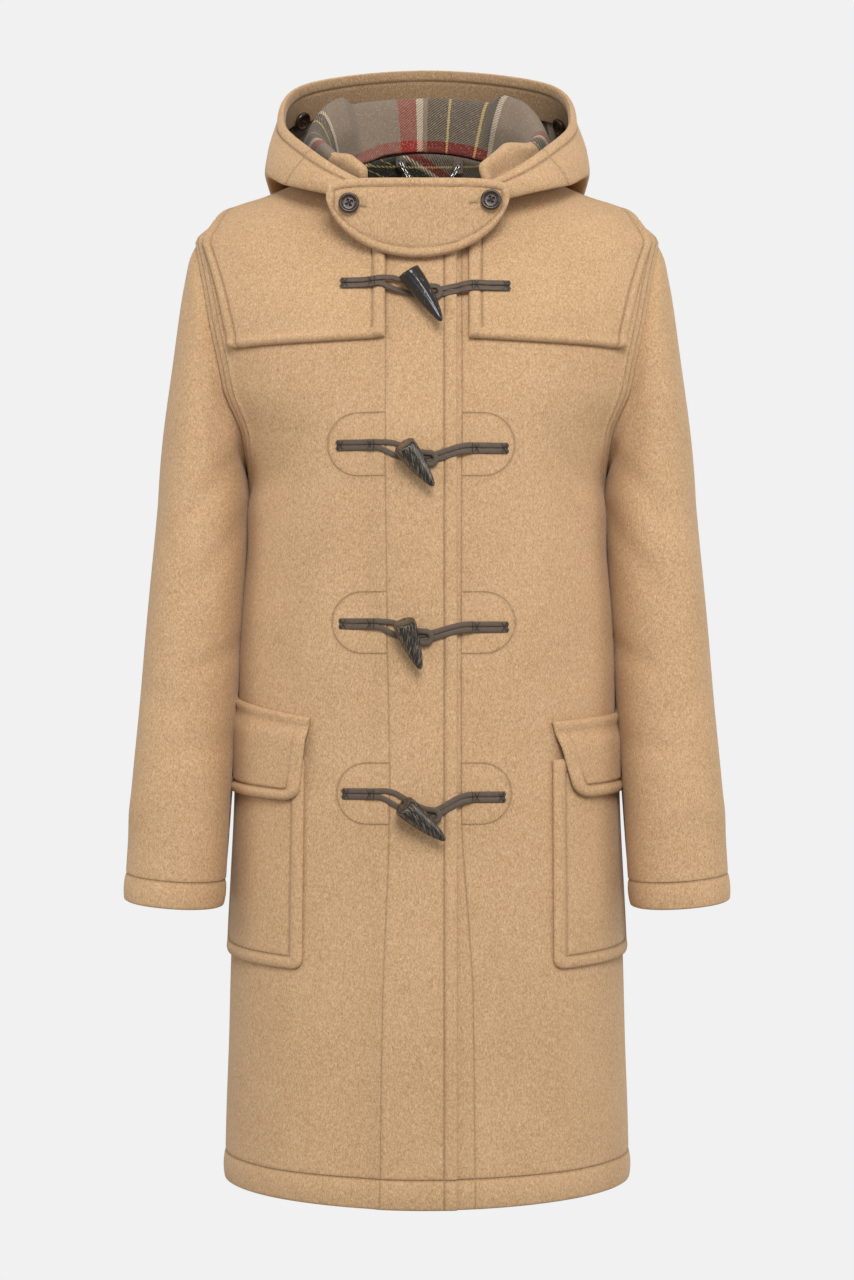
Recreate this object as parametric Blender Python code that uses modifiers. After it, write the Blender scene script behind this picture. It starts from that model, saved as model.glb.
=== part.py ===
"""A hooded duffle coat, filled out and hanging from the neck, in metres.

+Z is up and the front faces -Y. The origin is where the wearer's neck holds the coat: the middle of
the neck opening, level with the shoulders. "Right" and "left" are the wearer's: right lies on -X.
Every cloth piece is a wall worked out from the same tables, and what lies on a panel is made from
that panel's own points, moved out.
"""

import math

import bmesh
import bpy
import numpy as np
from mathutils import Matrix, Vector

# ---------------------------------------------------------------- driving dimensions
CLOTH = 0.003  # the heavy wool, one layer
GAP = 0.0003  # between two pieces at a seam
LAYER_GAP = 0.0005  # between a layer and the cloth that it lies on
HEM_LEVEL = -0.927
NECK_LEVEL = 0.012

ARMHOLE_LEVEL = -0.1635  # the armhole's middle
ARMHOLE_HALF_HEIGHT = 0.108
ARMHOLE_SPREAD = math.radians(30)  # from the side to the armhole's front or back edge
SIDE_RADIUS = 0.19  # turns a width round the side into an angle
SIDE_SEAM_DRIFT = math.radians(24)  # how far behind the side the seam runs at the hip
SIDE_SEAM_STRAIGHT_LEVEL = -0.42
MARGIN = 0.014  # from the armhole's edge to the yoke's edge

OVERLAP_EDGE_X = 0.027  # the upper front's edge, past the middle
UNDERLAP_EDGE_X = 0.036  # the under front's edge, past the middle the other way
INNER_LINE_X = 0.018  # a line of points that both fronts share
YOKE_EDGE_X = 0.0375
LIFT_NONE_X = 0.055  # the upper front is raised over the under one up to here

YOKE_TOP_LEVEL = 0.0100
YOKE_FRONT_LEVEL = -0.1380
YOKE_SIDE_LEVEL = -0.1560
YOKE_BACK_LEVEL = -0.1790
YOKE_TIP_LEVEL = -0.0460

POCKET_EDGE_X = 0.1115
POCKET_TOP_LEVEL = -0.522
POCKET_BOTTOM_LEVEL = -0.716
POCKET_SLOPE = 0.010  # its front edge hangs this much lower than its back edge
POCKET_BACK_COLUMN = 10.2  # the pocket ends past the side, between these columns of the front
POCKET_THICKNESS = 0.003
FLAP_TOP_LEVEL = -0.488
FLAP_BOTTOM_LEVEL = -0.566
FLAP_THICKNESS = 0.003
FLAP_TOP_X = 0.1075  # the flap's front edge is cut aslant
FLAP_BOTTOM_X = 0.1180

FACING_WIDTH = 0.040
FACING_THICKNESS = 0.002

TAB_MIDDLE_X = -0.0084
TAB_HALF_WIDTH = 0.083
TAB_TOP_Z = -0.0095
TAB_CORNER_Z = -0.0175
TAB_BOTTOM_Z = -0.0815
TAB_FRONT_Y = -0.1155  # at the top, in the middle
TAB_SIDE_Y = -0.1136
TAB_LEAN = 0.0050  # how much closer to the front its lower edge lies
TAB_THICKNESS = 0.005

BUTTON_RADIUS = 0.0094
BUTTON_THICKNESS = 0.0036

STRIP_WIDTH = 0.0047
STRIP_THICKNESS = 0.0018
STRIP_SPACING = 0.0052  # between the middles of the two strips where they are sewn down
TOGGLE_RADIUS = 0.0088

# Level of each ring of the coat's body, then its half width, its depth to the front and to the
# back, the power of its rounded-square outline, and how far the ring falls at the front and
# rises at the back.
BODY_COLUMNS = ("level", "half_width", "front", "back", "power", "fall", "rise")
BODY_RINGS = (
    (-0.9270, 0.1895, 0.158, 0.150, 2.50, 0.009, 0.000),  # hem
    (-0.7700, 0.1835, 0.156, 0.146, 2.50, 0.000, 0.000),
    (-0.6200, 0.1755, 0.151, 0.140, 2.50, 0.000, 0.000),  # pocket
    (-0.5000, 0.1695, 0.146, 0.134, 2.50, 0.000, 0.000),
    (-0.3900, 0.1655, 0.141, 0.130, 2.50, 0.000, 0.000),  # waist
    (-0.2900, 0.1620, 0.138, 0.128, 2.45, 0.000, 0.000),  # chest
    (-0.2400, 0.1760, 0.136, 0.126, 2.40, 0.004, 0.000),
    (-0.1900, 0.2050, 0.131, 0.122, 2.40, 0.010, 0.000),
    (-0.1200, 0.2190, 0.122, 0.113, 2.35, 0.022, 0.000),
    (-0.0555, 0.2153, 0.104, 0.093, 2.20, 0.040, 0.000),  # shoulder tip
    (-0.0400, 0.2000, 0.101, 0.090, 2.15, 0.045, 0.004),
    (-0.0255, 0.1800, 0.099, 0.086, 2.10, 0.048, 0.010),
    (-0.0165, 0.1520, 0.096, 0.080, 2.05, 0.046, 0.016),
    (0.0120, 0.0880, 0.084, 0.064, 2.00, 0.054, 0.027),  # neck seam
)
# Rows of the body's panels below the armhole and above it.
LEVELS_BELOW = (HEM_LEVEL, -0.85, -0.77, -0.69, -0.62, -0.56, -0.50, -0.44, -0.385, -0.33, -0.292)
LEVELS_ABOVE = (YOKE_TIP_LEVEL, -0.0380, -0.0290, -0.0190, -0.0060, NECK_LEVEL)
ARMHOLE_STEPS = 10  # rows from the bottom of the armhole to its top

# Rings of the left sleeve below the cap: level, the middle of the ring and its half sizes.
SLEEVE_COLUMNS = ("level", "x", "y", "half_width", "half_depth")
SLEEVE_RINGS = (
    (-0.300, 0.2078, -0.008, 0.0432, 0.078),
    (-0.370, 0.2130, -0.020, 0.0442, 0.072),
    (-0.440, 0.2179, -0.033, 0.0448, 0.066),
    (-0.510, 0.2224, -0.045, 0.0455, 0.060),
    (-0.580, 0.2267, -0.055, 0.0462, 0.055),
    (-0.630, 0.2300, -0.062, 0.0459, 0.052),
    (-0.668, 0.2330, -0.066, 0.0450, 0.050),
)
SLEEVE_POWER = 2.2
CUFF_FALL = 0.003  # the cuff's front hangs lower than its back by twice this

# The hood lies back round the neck. Its cloth runs from the neck seam up to a ridge, down behind
# it, round the fold and up to the rim. Each table gives one of those lines on the left half,
# from the throat to the middle of the back.
HOOD_SEAM_ANGLES = (-69, -52, -30, 0, 45, 90)  # round the neck ring, in degrees
HOOD_RIDGE = (
    (0.034, -0.0900, -0.0330),
    (0.060, -0.0760, -0.0130),
    (0.092, -0.0380, 0.0180),
    (0.107, 0.0140, 0.0480),
    (0.080, 0.0620, 0.0810),
    (0.000, 0.0800, 0.0910),
)
HOOD_DROP = (
    (0.038, -0.0960, -0.0350),
    (0.072, -0.0850, -0.0180),
    (0.110, -0.0460, 0.0010),
    (0.124, 0.0120, 0.0190),
    (0.094, 0.0940, 0.0180),
    (0.000, 0.1160, 0.0040),
)
HOOD_FOLD = (
    (0.041, -0.1040, -0.0340),
    (0.084, -0.0990, -0.0240),
    (0.130, -0.0620, -0.0100),
    (0.150, 0.0080, 0.0040),
    (0.116, 0.1140, -0.0480),
    (0.000, 0.1400, -0.1020),
)
HOOD_SIDE = (
    (0.038, -0.1080, -0.0250),
    (0.078, -0.1050, -0.0140),
    (0.124, -0.0700, 0.0040),
    (0.150, 0.0080, 0.0320),
    (0.134, 0.1280, 0.0300),
    (0.000, 0.1720, 0.0150),
)
HOOD_RIM = (
    (0.033, -0.1060, -0.0150),
    (0.063, -0.1000, -0.0070),
    (0.106, -0.0660, 0.0240),
    (0.137, 0.0080, 0.0640),
    (0.118, 0.0950, 0.1120),
    (0.000, 0.1350, 0.1320),
)
# Rows of the hood's cloth from the neck seam, 0, to the rim, 1, closest at the turns.
HOOD_ROWS = (0.0, 0.07, 0.14, 0.2, 0.27, 0.34, 0.41, 0.48, 0.54, 0.6, 0.67, 0.74)
HOOD_ROWS += (0.81, 0.875, 0.9375, 1.0)
HOOD_COLUMNS = 33
FACING_ROW = HOOD_ROWS.index(0.81)  # about where the facing's inner edge lies
# Each hood button: how many columns it lies from its end of the rim, and its row's place.
HOOD_BUTTONS = (("hood_button_left", 12.3, 0.912), ("hood_button_right", -12.7, 0.925))

# The four fastenings: height, where the right strap and the left strap end, the toggle's wide
# end and tip on the front, and how far its axis stands out from the body at the wide end.
TOGGLE_COLUMNS = ("z", "right_x", "left_x", "wide_x", "wide_z", "tip_x", "tip_z", "out")
TOGGLE_ROWS = (
    (-0.1070, -0.0785, 0.0755, -0.0172, -0.0990, 0.0130, -0.1420, 0.0201),
    (-0.2580, -0.0790, 0.0735, -0.0200, -0.2530, 0.0065, -0.2890, 0.0199),
    (-0.4170, -0.0775, 0.0735, -0.0200, -0.4115, -0.0040, -0.4540, 0.0196),
    (-0.5690, -0.0750, 0.0705, -0.0205, -0.5745, 0.0165, -0.6060, 0.0199),
)
# How far a strap's underside stands out from the body along x, on the plain front and over the
# yoke. It rises over each cloth edge, and the loop rises over the thong near the toggle.
LAP = CLOTH + GAP
YOKE_OUT = LAYER_GAP + CLOTH
HEIGHT_COLUMNS = ("x", "plain", "yoked")
LOOP_HEIGHTS = (
    (-0.0800, GAP, YOKE_OUT + GAP),
    (-0.0600, GAP, YOKE_OUT + GAP),
    (-0.0420, LAP + LAYER_GAP, YOKE_OUT + LAP + LAYER_GAP),
    (-0.0330, LAP + LAYER_GAP, YOKE_OUT + LAP + LAYER_GAP),
    (-0.0220, LAP + LAYER_GAP, LAP + 0.0026),
    (-0.0160, LAP + 0.0026, LAP + 0.0026),
)
THONG_HEIGHTS = (
    (0.0285, LAP + GAP, LAP + GAP),
    (0.0330, LAP + GAP, YOKE_OUT + GAP),
    (0.0450, GAP, YOKE_OUT + GAP),
)
TOGGLE_TIP_DROP = 0.0028  # the tip's axis lies this much closer to the cloth

CAMEL = (0.55, 0.36, 0.20, 1.0)
HORN = (0.035, 0.032, 0.035, 1.0)
LEATHER = (0.06, 0.045, 0.037, 1.0)
BUTTON = (0.03, 0.018, 0.015, 1.0)
STEEL = (0.75, 0.75, 0.76, 1.0)


# ---------------------------------------------------------------- tables and curves
def column(rows, names, name):
    """One named column of a table as an array."""
    return np.array([row[names.index(name)] for row in rows])


def smooth(at, knots, values):
    """A cubic through a table's values that never overshoots them (Fritsch and Carlson's slopes)."""
    at = np.clip(at, knots[0], knots[-1])
    step = np.diff(knots)
    rise = np.diff(values) / step
    slope = np.zeros(len(knots))
    slope[0], slope[-1] = rise[0], rise[-1]
    steady = rise[1:] * rise[:-1] > 0
    mean = 2 * rise[1:] * rise[:-1] / np.where(steady, rise[1:] + rise[:-1], 1)
    slope[1:-1] = np.where(steady, mean, 0)
    i = np.clip(np.searchsorted(knots, at, side="right") - 1, 0, len(step) - 1)
    t = (at - knots[i]) / step[i]
    return (
        values[i] * (1 + 2 * t) * (1 - t) ** 2
        + values[i + 1] * t * t * (3 - 2 * t)
        + step[i] * t * (1 - t) * (slope[i] * (1 - t) - slope[i + 1] * t)
    )


def ease(at, low, high):
    """0 before low, 1 after high, and a smooth step between."""
    t = np.clip((at - low) / (high - low), 0, 1)
    return t * t * (3 - 2 * t)


def spline(points, at):
    """Points on a Catmull-Rom curve through points; at runs from 0 to one less than their number."""
    points = np.asarray(points, float)
    ends = np.concatenate([[2 * points[0] - points[1]], points, [2 * points[-1] - points[-2]]])
    i = np.clip(np.floor(at).astype(int), 0, len(points) - 2)
    t = (at - i).reshape((-1,) + (1,) * (points.ndim - 1))
    a, b, c, d = ends[i], ends[i + 1], ends[i + 2], ends[i + 3]
    return 0.5 * (
        2 * b + (c - a) * t + (2 * a - 5 * b + 4 * c - d) * t**2 + (3 * b - a - 3 * c + d) * t**3
    )


def unit(vectors):
    """The vectors, each one metre long."""
    return vectors / np.linalg.norm(vectors, axis=-1, keepdims=True)


# ---------------------------------------------------------------- the body's surface
def body_ring(level):
    """The named sizes of the body's ring at each level."""
    levels = column(BODY_RINGS, BODY_COLUMNS, "level")
    return [smooth(level, levels, column(BODY_RINGS, BODY_COLUMNS, n)) for n in BODY_COLUMNS[1:]]


def body(angle, level):
    """The body's outer face. angle is 0 on the left side (+X), -90 degrees at the front."""
    half, front, back, power, fall, rise = body_ring(level)
    c, s = np.cos(angle), np.sin(angle)
    reach = (np.abs(c) ** power + np.abs(s) ** power) ** (-1 / power)
    depth = np.where(s < 0, front, back)
    height = level + np.where(s < 0, -fall, rise) * s * s
    return np.stack([reach * half * c, reach * depth * s, height], axis=-1)


def body_normal(angle, level):
    """The body's outward direction, from the points a little to each side."""
    step = 1e-4
    level = np.clip(level, HEM_LEVEL + step, NECK_LEVEL - step)
    across = body(angle + step, level) - body(angle - step, level)
    along = body(angle, level + step) - body(angle, level - step)
    return unit(np.cross(across, along))


def front_angle(x, level):
    """The angle at which the front's ring has this x."""
    half, _, _, power, _, _ = body_ring(level)
    c = np.clip(x / half, -0.999, 0.999)
    for _ in range(12):
        s = np.sqrt(1 - c * c)
        c = np.clip(x / half * (np.abs(c) ** power + s**power) ** (1 / power), -0.999, 0.999)
    return -np.arccos(c)


def on_front(x, z, out):
    """The point at x and z on the front, moved out along the body's normal."""
    x, z, out = np.broadcast_arrays(np.asarray(x, float), z, out)
    level = z.copy()
    for _ in range(30):
        angle = front_angle(x, level)
        level = np.clip(z + body_ring(level)[4] * np.sin(angle) ** 2, HEM_LEVEL, NECK_LEVEL)
    return body(angle, level) + out[..., None] * body_normal(angle, level)


# ---------------------------------------------------------------- making objects
class Panel:
    """A piece's outer face: rows of points, one for each level, and their normals."""

    def __init__(self, levels, points, normals):
        self.levels = np.asarray(levels, float)
        self.points = points
        self.normals = normals

    def moved(self, out):
        """The face moved out along its normals, evenly or by each point's own distance."""
        return self.points + np.asarray(out)[..., None] * self.normals

    def mirrored(self):
        """The same piece on the coat's other side. Its columns run the other way."""
        flip = np.array([-1, 1, 1])
        return Panel(self.levels, (self.points * flip)[:, ::-1], (self.normals * flip)[:, ::-1])

    def patch(self, columns, levels):
        """A part of the panel, read between its points. columns counts columns from 0."""
        columns, levels = np.broadcast_arrays(np.asarray(columns, float), levels)
        rows = np.interp(levels, self.levels, np.arange(len(self.levels)))
        r = np.clip(np.floor(rows).astype(int), 0, self.points.shape[0] - 2)
        c = np.clip(np.floor(columns).astype(int), 0, self.points.shape[1] - 2)
        u, v = (rows - r)[..., None], (columns - c)[..., None]

        def between(grid):
            low = grid[r, c] * (1 - v) + grid[r, c + 1] * v
            high = grid[r + 1, c] * (1 - v) + grid[r + 1, c + 1] * v
            return low * (1 - u) + high * u

        return Panel(levels[:, 0], between(self.points), unit(between(self.normals)))


def clear_scene():
    for obj in list(bpy.data.objects):
        bpy.data.objects.remove(obj, do_unlink=True)


def material(name, colour, roughness, metallic=0.0):
    made = bpy.data.materials.new(name)
    made.use_nodes = True
    shader = made.node_tree.nodes["Principled BSDF"]
    shader.inputs["Base Color"].default_value = colour
    shader.inputs["Roughness"].default_value = roughness
    shader.inputs["Metallic"].default_value = metallic
    return made


def add(name, mesh, finish, place=None):
    obj = bpy.data.objects.new(name, mesh)
    COAT.objects.link(obj)
    mesh.materials.append(finish)
    if place is not None:
        obj.matrix_world = place
    mesh.shade_smooth()
    return obj


def grid_faces(rows, columns, closed=False, keep=None):
    """The four-cornered faces of a grid of points, joined round if it is closed."""
    faces = []
    for r in range(rows - 1):
        for c in range(columns if closed else columns - 1):
            d = (c + 1) % columns
            if keep is None or keep[r, c]:
                low, high = r * columns, (r + 1) * columns
                faces.append((low + c, low + d, high + d, high + c))
    return faces


def wall(name, outer, inner, finish, closed=False, keep=None):
    """Cloth lofted between its outer and its inner face, whose edges meet its neighbours' squarely.
    keep marks the cells of the grid that are cloth."""
    rows, columns = outer.shape[:2]
    front = grid_faces(rows, columns, closed, keep)
    size = rows * columns
    back = [(a + size, d + size, c + size, b + size) for a, b, c, d in front]
    edges = {(face[i], face[(i + 1) % 4]) for face in front for i in range(4)}
    rim = []
    for a, b in sorted(edges):
        if (b, a) not in edges:
            # the first corner is the lower outer one, so two pieces' edges split alike at a seam
            rim.append((a, a + size, b + size, b) if a < b else (b, a, a + size, b + size))
    faces = np.array(front + back + rim)
    used, index = np.unique(faces, return_inverse=True)
    points = np.concatenate([outer.reshape(-1, 3), inner.reshape(-1, 3)])[used]
    mesh = bpy.data.meshes.new(name)
    mesh.from_pydata(points.tolist(), [], index.reshape(faces.shape).tolist())
    return add(name, mesh, finish)


def cloth(name, panel, finish, out=0.0, thickness=CLOTH, closed=False, keep=None):
    """A wall whose outer face is the panel moved out."""
    out = np.asarray(out, float)
    return wall(name, panel.moved(out), panel.moved(out - thickness), finish, closed, keep)


def sheet(name, grid, finish, thickness):
    """A thin piece that stands by itself: an open surface, thickened inwards."""
    mesh = bpy.data.meshes.new(name)
    mesh.from_pydata(grid.reshape(-1, 3).tolist(), [], grid_faces(*grid.shape[:2]))
    obj = add(name, mesh, finish)
    solid = obj.modifiers.new("thickness", "SOLIDIFY")
    solid.thickness = thickness
    solid.offset = -1
    return obj


# ---------------------------------------------------------------- the coat's body
def body_levels():
    """Rows from the hem to the neck, with a row for each point of the armhole's edge."""
    turn = np.linspace(math.pi, 0, ARMHOLE_STEPS + 1)
    armhole = ARMHOLE_LEVEL + ARMHOLE_HALF_HEIGHT * np.cos(turn)
    return np.concatenate([LEVELS_BELOW, armhole, LEVELS_ABOVE])


def seam_angle(level):
    """The angle from the side to where the front ends: forward at the armhole, and behind the side
    at the side seam below it. The back mirrors it at the armhole only."""
    bottom = ARMHOLE_LEVEL - ARMHOLE_HALF_HEIGHT
    share = np.clip((level - ARMHOLE_LEVEL) / ARMHOLE_HALF_HEIGHT, -1, 1)
    armhole = -ARMHOLE_SPREAD * np.sqrt(1 - share * share)
    below = SIDE_SEAM_DRIFT * ease(-level, -bottom, -SIDE_SEAM_STRAIGHT_LEVEL)
    return np.where(level < bottom, below, armhole)


def margin_angle(level, even):
    """From a seam to the line beside it: MARGIN at the armhole, an even share further down."""
    return MARGIN / SIDE_RADIUS + (even - MARGIN / SIDE_RADIUS) * ease(-level, 0.27, 0.36)


def front_panel(edge_x, raised):
    """A front on the left half, from edge_x past the middle to the side seam and the armhole."""
    levels = body_levels()
    level = levels[:, None]
    lines = np.array([-edge_x, -INNER_LINE_X, 0.0, INNER_LINE_X, YOKE_EDGE_X, LIFT_NONE_X])[None, :]
    near = front_angle(*np.broadcast_arrays(lines, level))
    start = near[:, -1:]
    end = seam_angle(level) - GAP / 2 / SIDE_RADIUS
    margin = end - margin_angle(level, (end - start) / 7)
    between = start + (margin - start) * np.linspace(0, 1, 7)[None, 1:]
    angle = np.concatenate([near, between, end], axis=1)
    level = np.broadcast_to(level, angle.shape)
    points, normals = body(angle, level), body_normal(angle, level)
    if raised:
        lifted = (CLOTH + GAP) * ease(-points[..., 0], -LIFT_NONE_X, -YOKE_EDGE_X)
        points = points + lifted[..., None] * normals
    return Panel(levels, points, normals)


def back_panel():
    """The back, from one side seam and armhole round to the other."""
    levels = body_levels()
    level = levels[:, None]
    armhole = level >= ARMHOLE_LEVEL - ARMHOLE_HALF_HEIGHT
    seam = np.where(armhole, -seam_angle(level), seam_angle(level)) + GAP / 2 / SIDE_RADIUS
    margin = seam + margin_angle(level, (math.pi - 2 * seam) / 14)
    between = margin + (math.pi - 2 * margin) * np.linspace(0, 1, 13)[None, :]
    angle = np.concatenate([seam, between, math.pi - seam], axis=1)
    level = np.broadcast_to(level, angle.shape)
    return Panel(levels, body(angle, level), body_normal(angle, level))


# ---------------------------------------------------------------- shoulder yoke
def make_yoke(front_left, front_right, back, finish):
    """One piece over both shoulders, with two front points. It is made from the points of the three
    panels under it, and leaves out the cells at the armholes."""
    rows = [level for level in front_left.levels if level > YOKE_FRONT_LEVEL + 0.004]
    rows = np.array(rows[:-1] + [YOKE_TOP_LEVEL])

    def part(panel, columns, lowest, second):
        """The panel's rows in the yoke, below them the yoke's lower edge and a row next to it."""
        lowest = np.broadcast_to(lowest, len(columns))
        second = lowest + (rows[0] - lowest) * second
        levels = np.concatenate([[lowest, second], np.repeat(rows[:, None], len(columns), axis=1)])
        made = panel.patch(np.asarray(columns, float)[None, :], levels)
        return made.points, made.normals

    slope = np.linspace(YOKE_FRONT_LEVEL, YOKE_SIDE_LEVEL, 8)
    middle_row = (ARMHOLE_LEVEL - YOKE_BACK_LEVEL) / (rows[0] - YOKE_BACK_LEVEL)
    parts = [
        part(front_left, np.arange(4, 12), slope, 0.4),
        part(front_left, [12], YOKE_SIDE_LEVEL, 0.4),
        part(back, np.arange(1, 14), YOKE_BACK_LEVEL, middle_row),
        part(front_right, [0], YOKE_SIDE_LEVEL, 0.4),
        part(front_right, np.arange(1, 9), slope[::-1], 0.4),
    ]
    points = np.concatenate([p for p, _ in parts], axis=1)
    normals = np.concatenate([n for _, n in parts], axis=1)
    keep = np.ones((points.shape[0] - 1, points.shape[1] - 1), bool)
    levels = np.concatenate([[YOKE_SIDE_LEVEL, YOKE_SIDE_LEVEL], rows])
    for seam in (8, 22):
        keep[levels[:-1] < YOKE_TIP_LEVEL - 0.001, seam - 1 : seam + 1] = False
    cloth("yoke", Panel(levels, points, normals), finish, YOKE_OUT, keep=keep)


# ---------------------------------------------------------------- sleeves
def sleeve_ring(turn, ring):
    """A ring of the left sleeve. turn is 0 on the outer side, 90 degrees at the front."""
    level, x, y, half_width, half_depth = ring
    c, s = np.cos(turn), np.sin(turn)
    reach = (np.abs(c) ** SLEEVE_POWER + np.abs(s) ** SLEEVE_POWER) ** (-1 / SLEEVE_POWER)
    fall = CUFF_FALL * ease(-level, 0.58, 0.668)
    return np.stack(
        [x + reach * half_width * c, y - reach * half_depth * s, level - fall * s], axis=-1
    )


def make_sleeves(finish):
    """Each sleeve leaves the armhole's edge outwards, turns down and narrows to the cuff."""
    turn = np.linspace(0, 2 * math.pi, 2 * ARMHOLE_STEPS + 1)[:-1]
    upper = (1 + np.cos(turn)) / 2
    inset = 2 * GAP
    angle = -(ARMHOLE_SPREAD - inset / SIDE_RADIUS) * np.sin(turn)
    level = ARMHOLE_LEVEL + (ARMHOLE_HALF_HEIGHT - inset) * np.cos(turn)
    seam, square = body(angle, level), body_normal(angle, level)
    end = sleeve_ring(turn, SLEEVE_RINGS[0])
    away = unit(
        np.stack([1 - 0.45 * upper**3, -0.35 * np.sin(turn), -0.05 - 0.85 * upper], axis=-1)
    )
    leave = (0.030 + 0.075 * upper)[:, None] * away
    arrive = (0.045 + 0.130 * upper)[:, None] * np.array([0.05, -0.12, -0.99])
    rows = []
    for t in (0.0, 0.08, 0.2, 0.36, 0.54, 0.76):
        rows.append(
            seam * (1 + 2 * t) * (1 - t) ** 2
            + leave * t * (1 - t) ** 2
            + end * t * t * (3 - 2 * t)
            - arrive * t * t * (1 - t)
        )
    rows += [sleeve_ring(turn, ring) for ring in SLEEVE_RINGS]
    outer = np.array(rows)
    around = np.roll(outer, -1, axis=1) - np.roll(outer, 1, axis=1)
    normals = unit(np.cross(around, np.gradient(outer, axis=0)))
    normals[0] = square
    left = Panel(np.arange(len(rows)), outer, normals)
    cloth("sleeve_left", left, finish, closed=True)
    cloth("sleeve_right", left.mirrored(), finish, closed=True)


# ---------------------------------------------------------------- pockets
def pocket_part(front, top, bottom, top_x, bottom_x, steps):
    """The front's own columns from the edge at top_x and bottom_x back, on levels that slope down
    to the front."""
    levels = np.linspace(bottom, top, steps)
    edge = []
    for level, edge_x in zip(levels, np.linspace(bottom_x, top_x, steps)):
        row = front.patch(np.arange(5, 10)[None, :], np.full((1, 5), level)).points[0, :, 0]
        edge.append(5 + np.interp(edge_x, row, np.arange(5)))
    inner = np.arange(math.ceil(max(edge) + 0.15), POCKET_BACK_COLUMN)
    columns = np.array([[e, *inner, POCKET_BACK_COLUMN] for e in edge])
    slope = POCKET_SLOPE * (columns - POCKET_BACK_COLUMN) / (POCKET_BACK_COLUMN - columns[:, :1])
    return front.patch(columns, levels[:, None] + slope)


def make_pockets(front, finish):
    edges = (POCKET_EDGE_X, POCKET_EDGE_X)
    pocket = pocket_part(front, POCKET_TOP_LEVEL, POCKET_BOTTOM_LEVEL, *edges, 6)
    flap = pocket_part(front, FLAP_TOP_LEVEL, FLAP_BOTTOM_LEVEL, FLAP_TOP_X, FLAP_BOTTOM_X, 7)
    over = (POCKET_THICKNESS + LAYER_GAP) * ease(-flap.levels, 0.496, 0.516)[:, None]
    pocket_out = LAYER_GAP + POCKET_THICKNESS
    flap_out = LAYER_GAP + FLAP_THICKNESS + over
    for side, turn in (("left", lambda p: p), ("right", Panel.mirrored)):
        cloth(f"pocket_{side}", turn(pocket), finish, pocket_out, POCKET_THICKNESS)
        cloth(f"pocket_flap_{side}", turn(flap), finish, flap_out, FLAP_THICKNESS)


# ---------------------------------------------------------------- hood
def hood(around, along):
    """Points of the hood's outer face. around is -1 at the right throat, 0 at the back and 1 at
    the left throat; along is 0 at the neck seam and 1 at the rim."""
    left = np.radians(HOOD_SEAM_ANGLES)
    at = (1 - around) / 2 * (2 * len(left) - 2)
    angle = spline(np.concatenate([left, math.pi - left[:-1][::-1]]), at)
    seam = body(angle, NECK_LEVEL)
    lifted = LAP * ease(seam[..., 0], -LIFT_NONE_X, -YOKE_EDGE_X) * (seam[..., 0] < 0)
    seam = seam + lifted[..., None] * body_normal(angle, NECK_LEVEL)
    lines = [seam + np.array([0, 0, 2 * GAP])]
    for line in (HOOD_RIDGE, HOOD_DROP, HOOD_FOLD, HOOD_SIDE, HOOD_RIM):
        left = np.array(line)
        whole = np.concatenate([left, left[:-1][::-1] * np.array([-1, 1, 1])])
        lines.append(spline(whole, at))
    return spline(np.array(lines), along * (len(lines) - 1))


def make_hood(finish):
    """The hood, and the strip of cloth that faces the inside of its rim."""
    rows = np.array(HOOD_ROWS)
    grid = hood(np.linspace(1, -1, HOOD_COLUMNS), rows)
    normals = unit(np.cross(np.gradient(grid, axis=1), np.gradient(grid, axis=0)))
    panel = Panel(rows, grid, normals)
    cloth("hood", panel, finish)

    width = np.linalg.norm(grid[-1] - grid[FACING_ROW], axis=-1)
    reach = (1 - HOOD_ROWS[FACING_ROW]) * np.minimum(FACING_WIDTH / width, 1.0)
    inner = panel.patch(
        np.linspace(0.35, HOOD_COLUMNS - 1.35, HOOD_COLUMNS)[None, :],
        0.995 - reach[None, :] * np.linspace(1, 0, 4)[:, None],
    )
    cloth("hood_facing", inner, finish, -CLOTH - 2 * LAYER_GAP, FACING_THICKNESS)
    return panel


# ---------------------------------------------------------------- throat tab
def tab_point(across, up):
    """across runs from -1 to 1, up from 0 at the rounded lower edge to 1 at the top."""
    x = TAB_MIDDLE_X + TAB_HALF_WIDTH * across
    low = TAB_CORNER_Z + (TAB_BOTTOM_Z - TAB_CORNER_Z) * np.sqrt(1 - (0.985 * across) ** 2)
    high = TAB_TOP_Z - 0.006 * across**6
    y = TAB_FRONT_Y + (TAB_SIDE_Y - TAB_FRONT_Y) * np.abs(across) ** 2.2
    y = y + TAB_LEAN * (1 - up) * (1 - across**2)
    return np.stack([x, y, low + (high - low) * up], axis=-1)


def make_tab(finish, button):
    across, up = np.meshgrid(np.linspace(-1, 1, 19), np.linspace(0, 1, 6))
    sheet("throat_tab", tab_point(across, up), finish, TAB_THICKNESS)
    for name, at, up in (("throat_button_right", -0.75, 0.55), ("throat_button_left", 0.80, 0.58)):
        spot = tab_point(np.array([at - 0.01, at + 0.01, at]), np.full(3, up))
        facing = Vector(spot[1] - spot[0]).cross(Vector((0, 0.09, 1))).normalized()
        make_button(name, Vector(spot[2]) + facing * 0.0021, facing, button)


# ---------------------------------------------------------------- toggles, loops and thongs
def ribbon(name, route, heights, yoked, finish):
    """A flat leather strip along a route of (x, z) on the front, lifted over the cloth edges."""
    ahead = unit(np.gradient(route, axis=0))
    beside = np.stack([-ahead[:, 1], ahead[:, 0]], axis=1) * STRIP_WIDTH / 2
    kind = "yoked" if yoked else "plain"
    knots = column(heights, HEIGHT_COLUMNS, "x")
    out = np.interp(route[:, 0], knots, column(heights, HEIGHT_COLUMNS, kind)) + STRIP_THICKNESS
    edges = [route - beside, route + beside]
    grid = np.array([on_front(edge[:, 0], edge[:, 1], out) for edge in edges])
    sheet(name, grid, finish, STRIP_THICKNESS)


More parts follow.
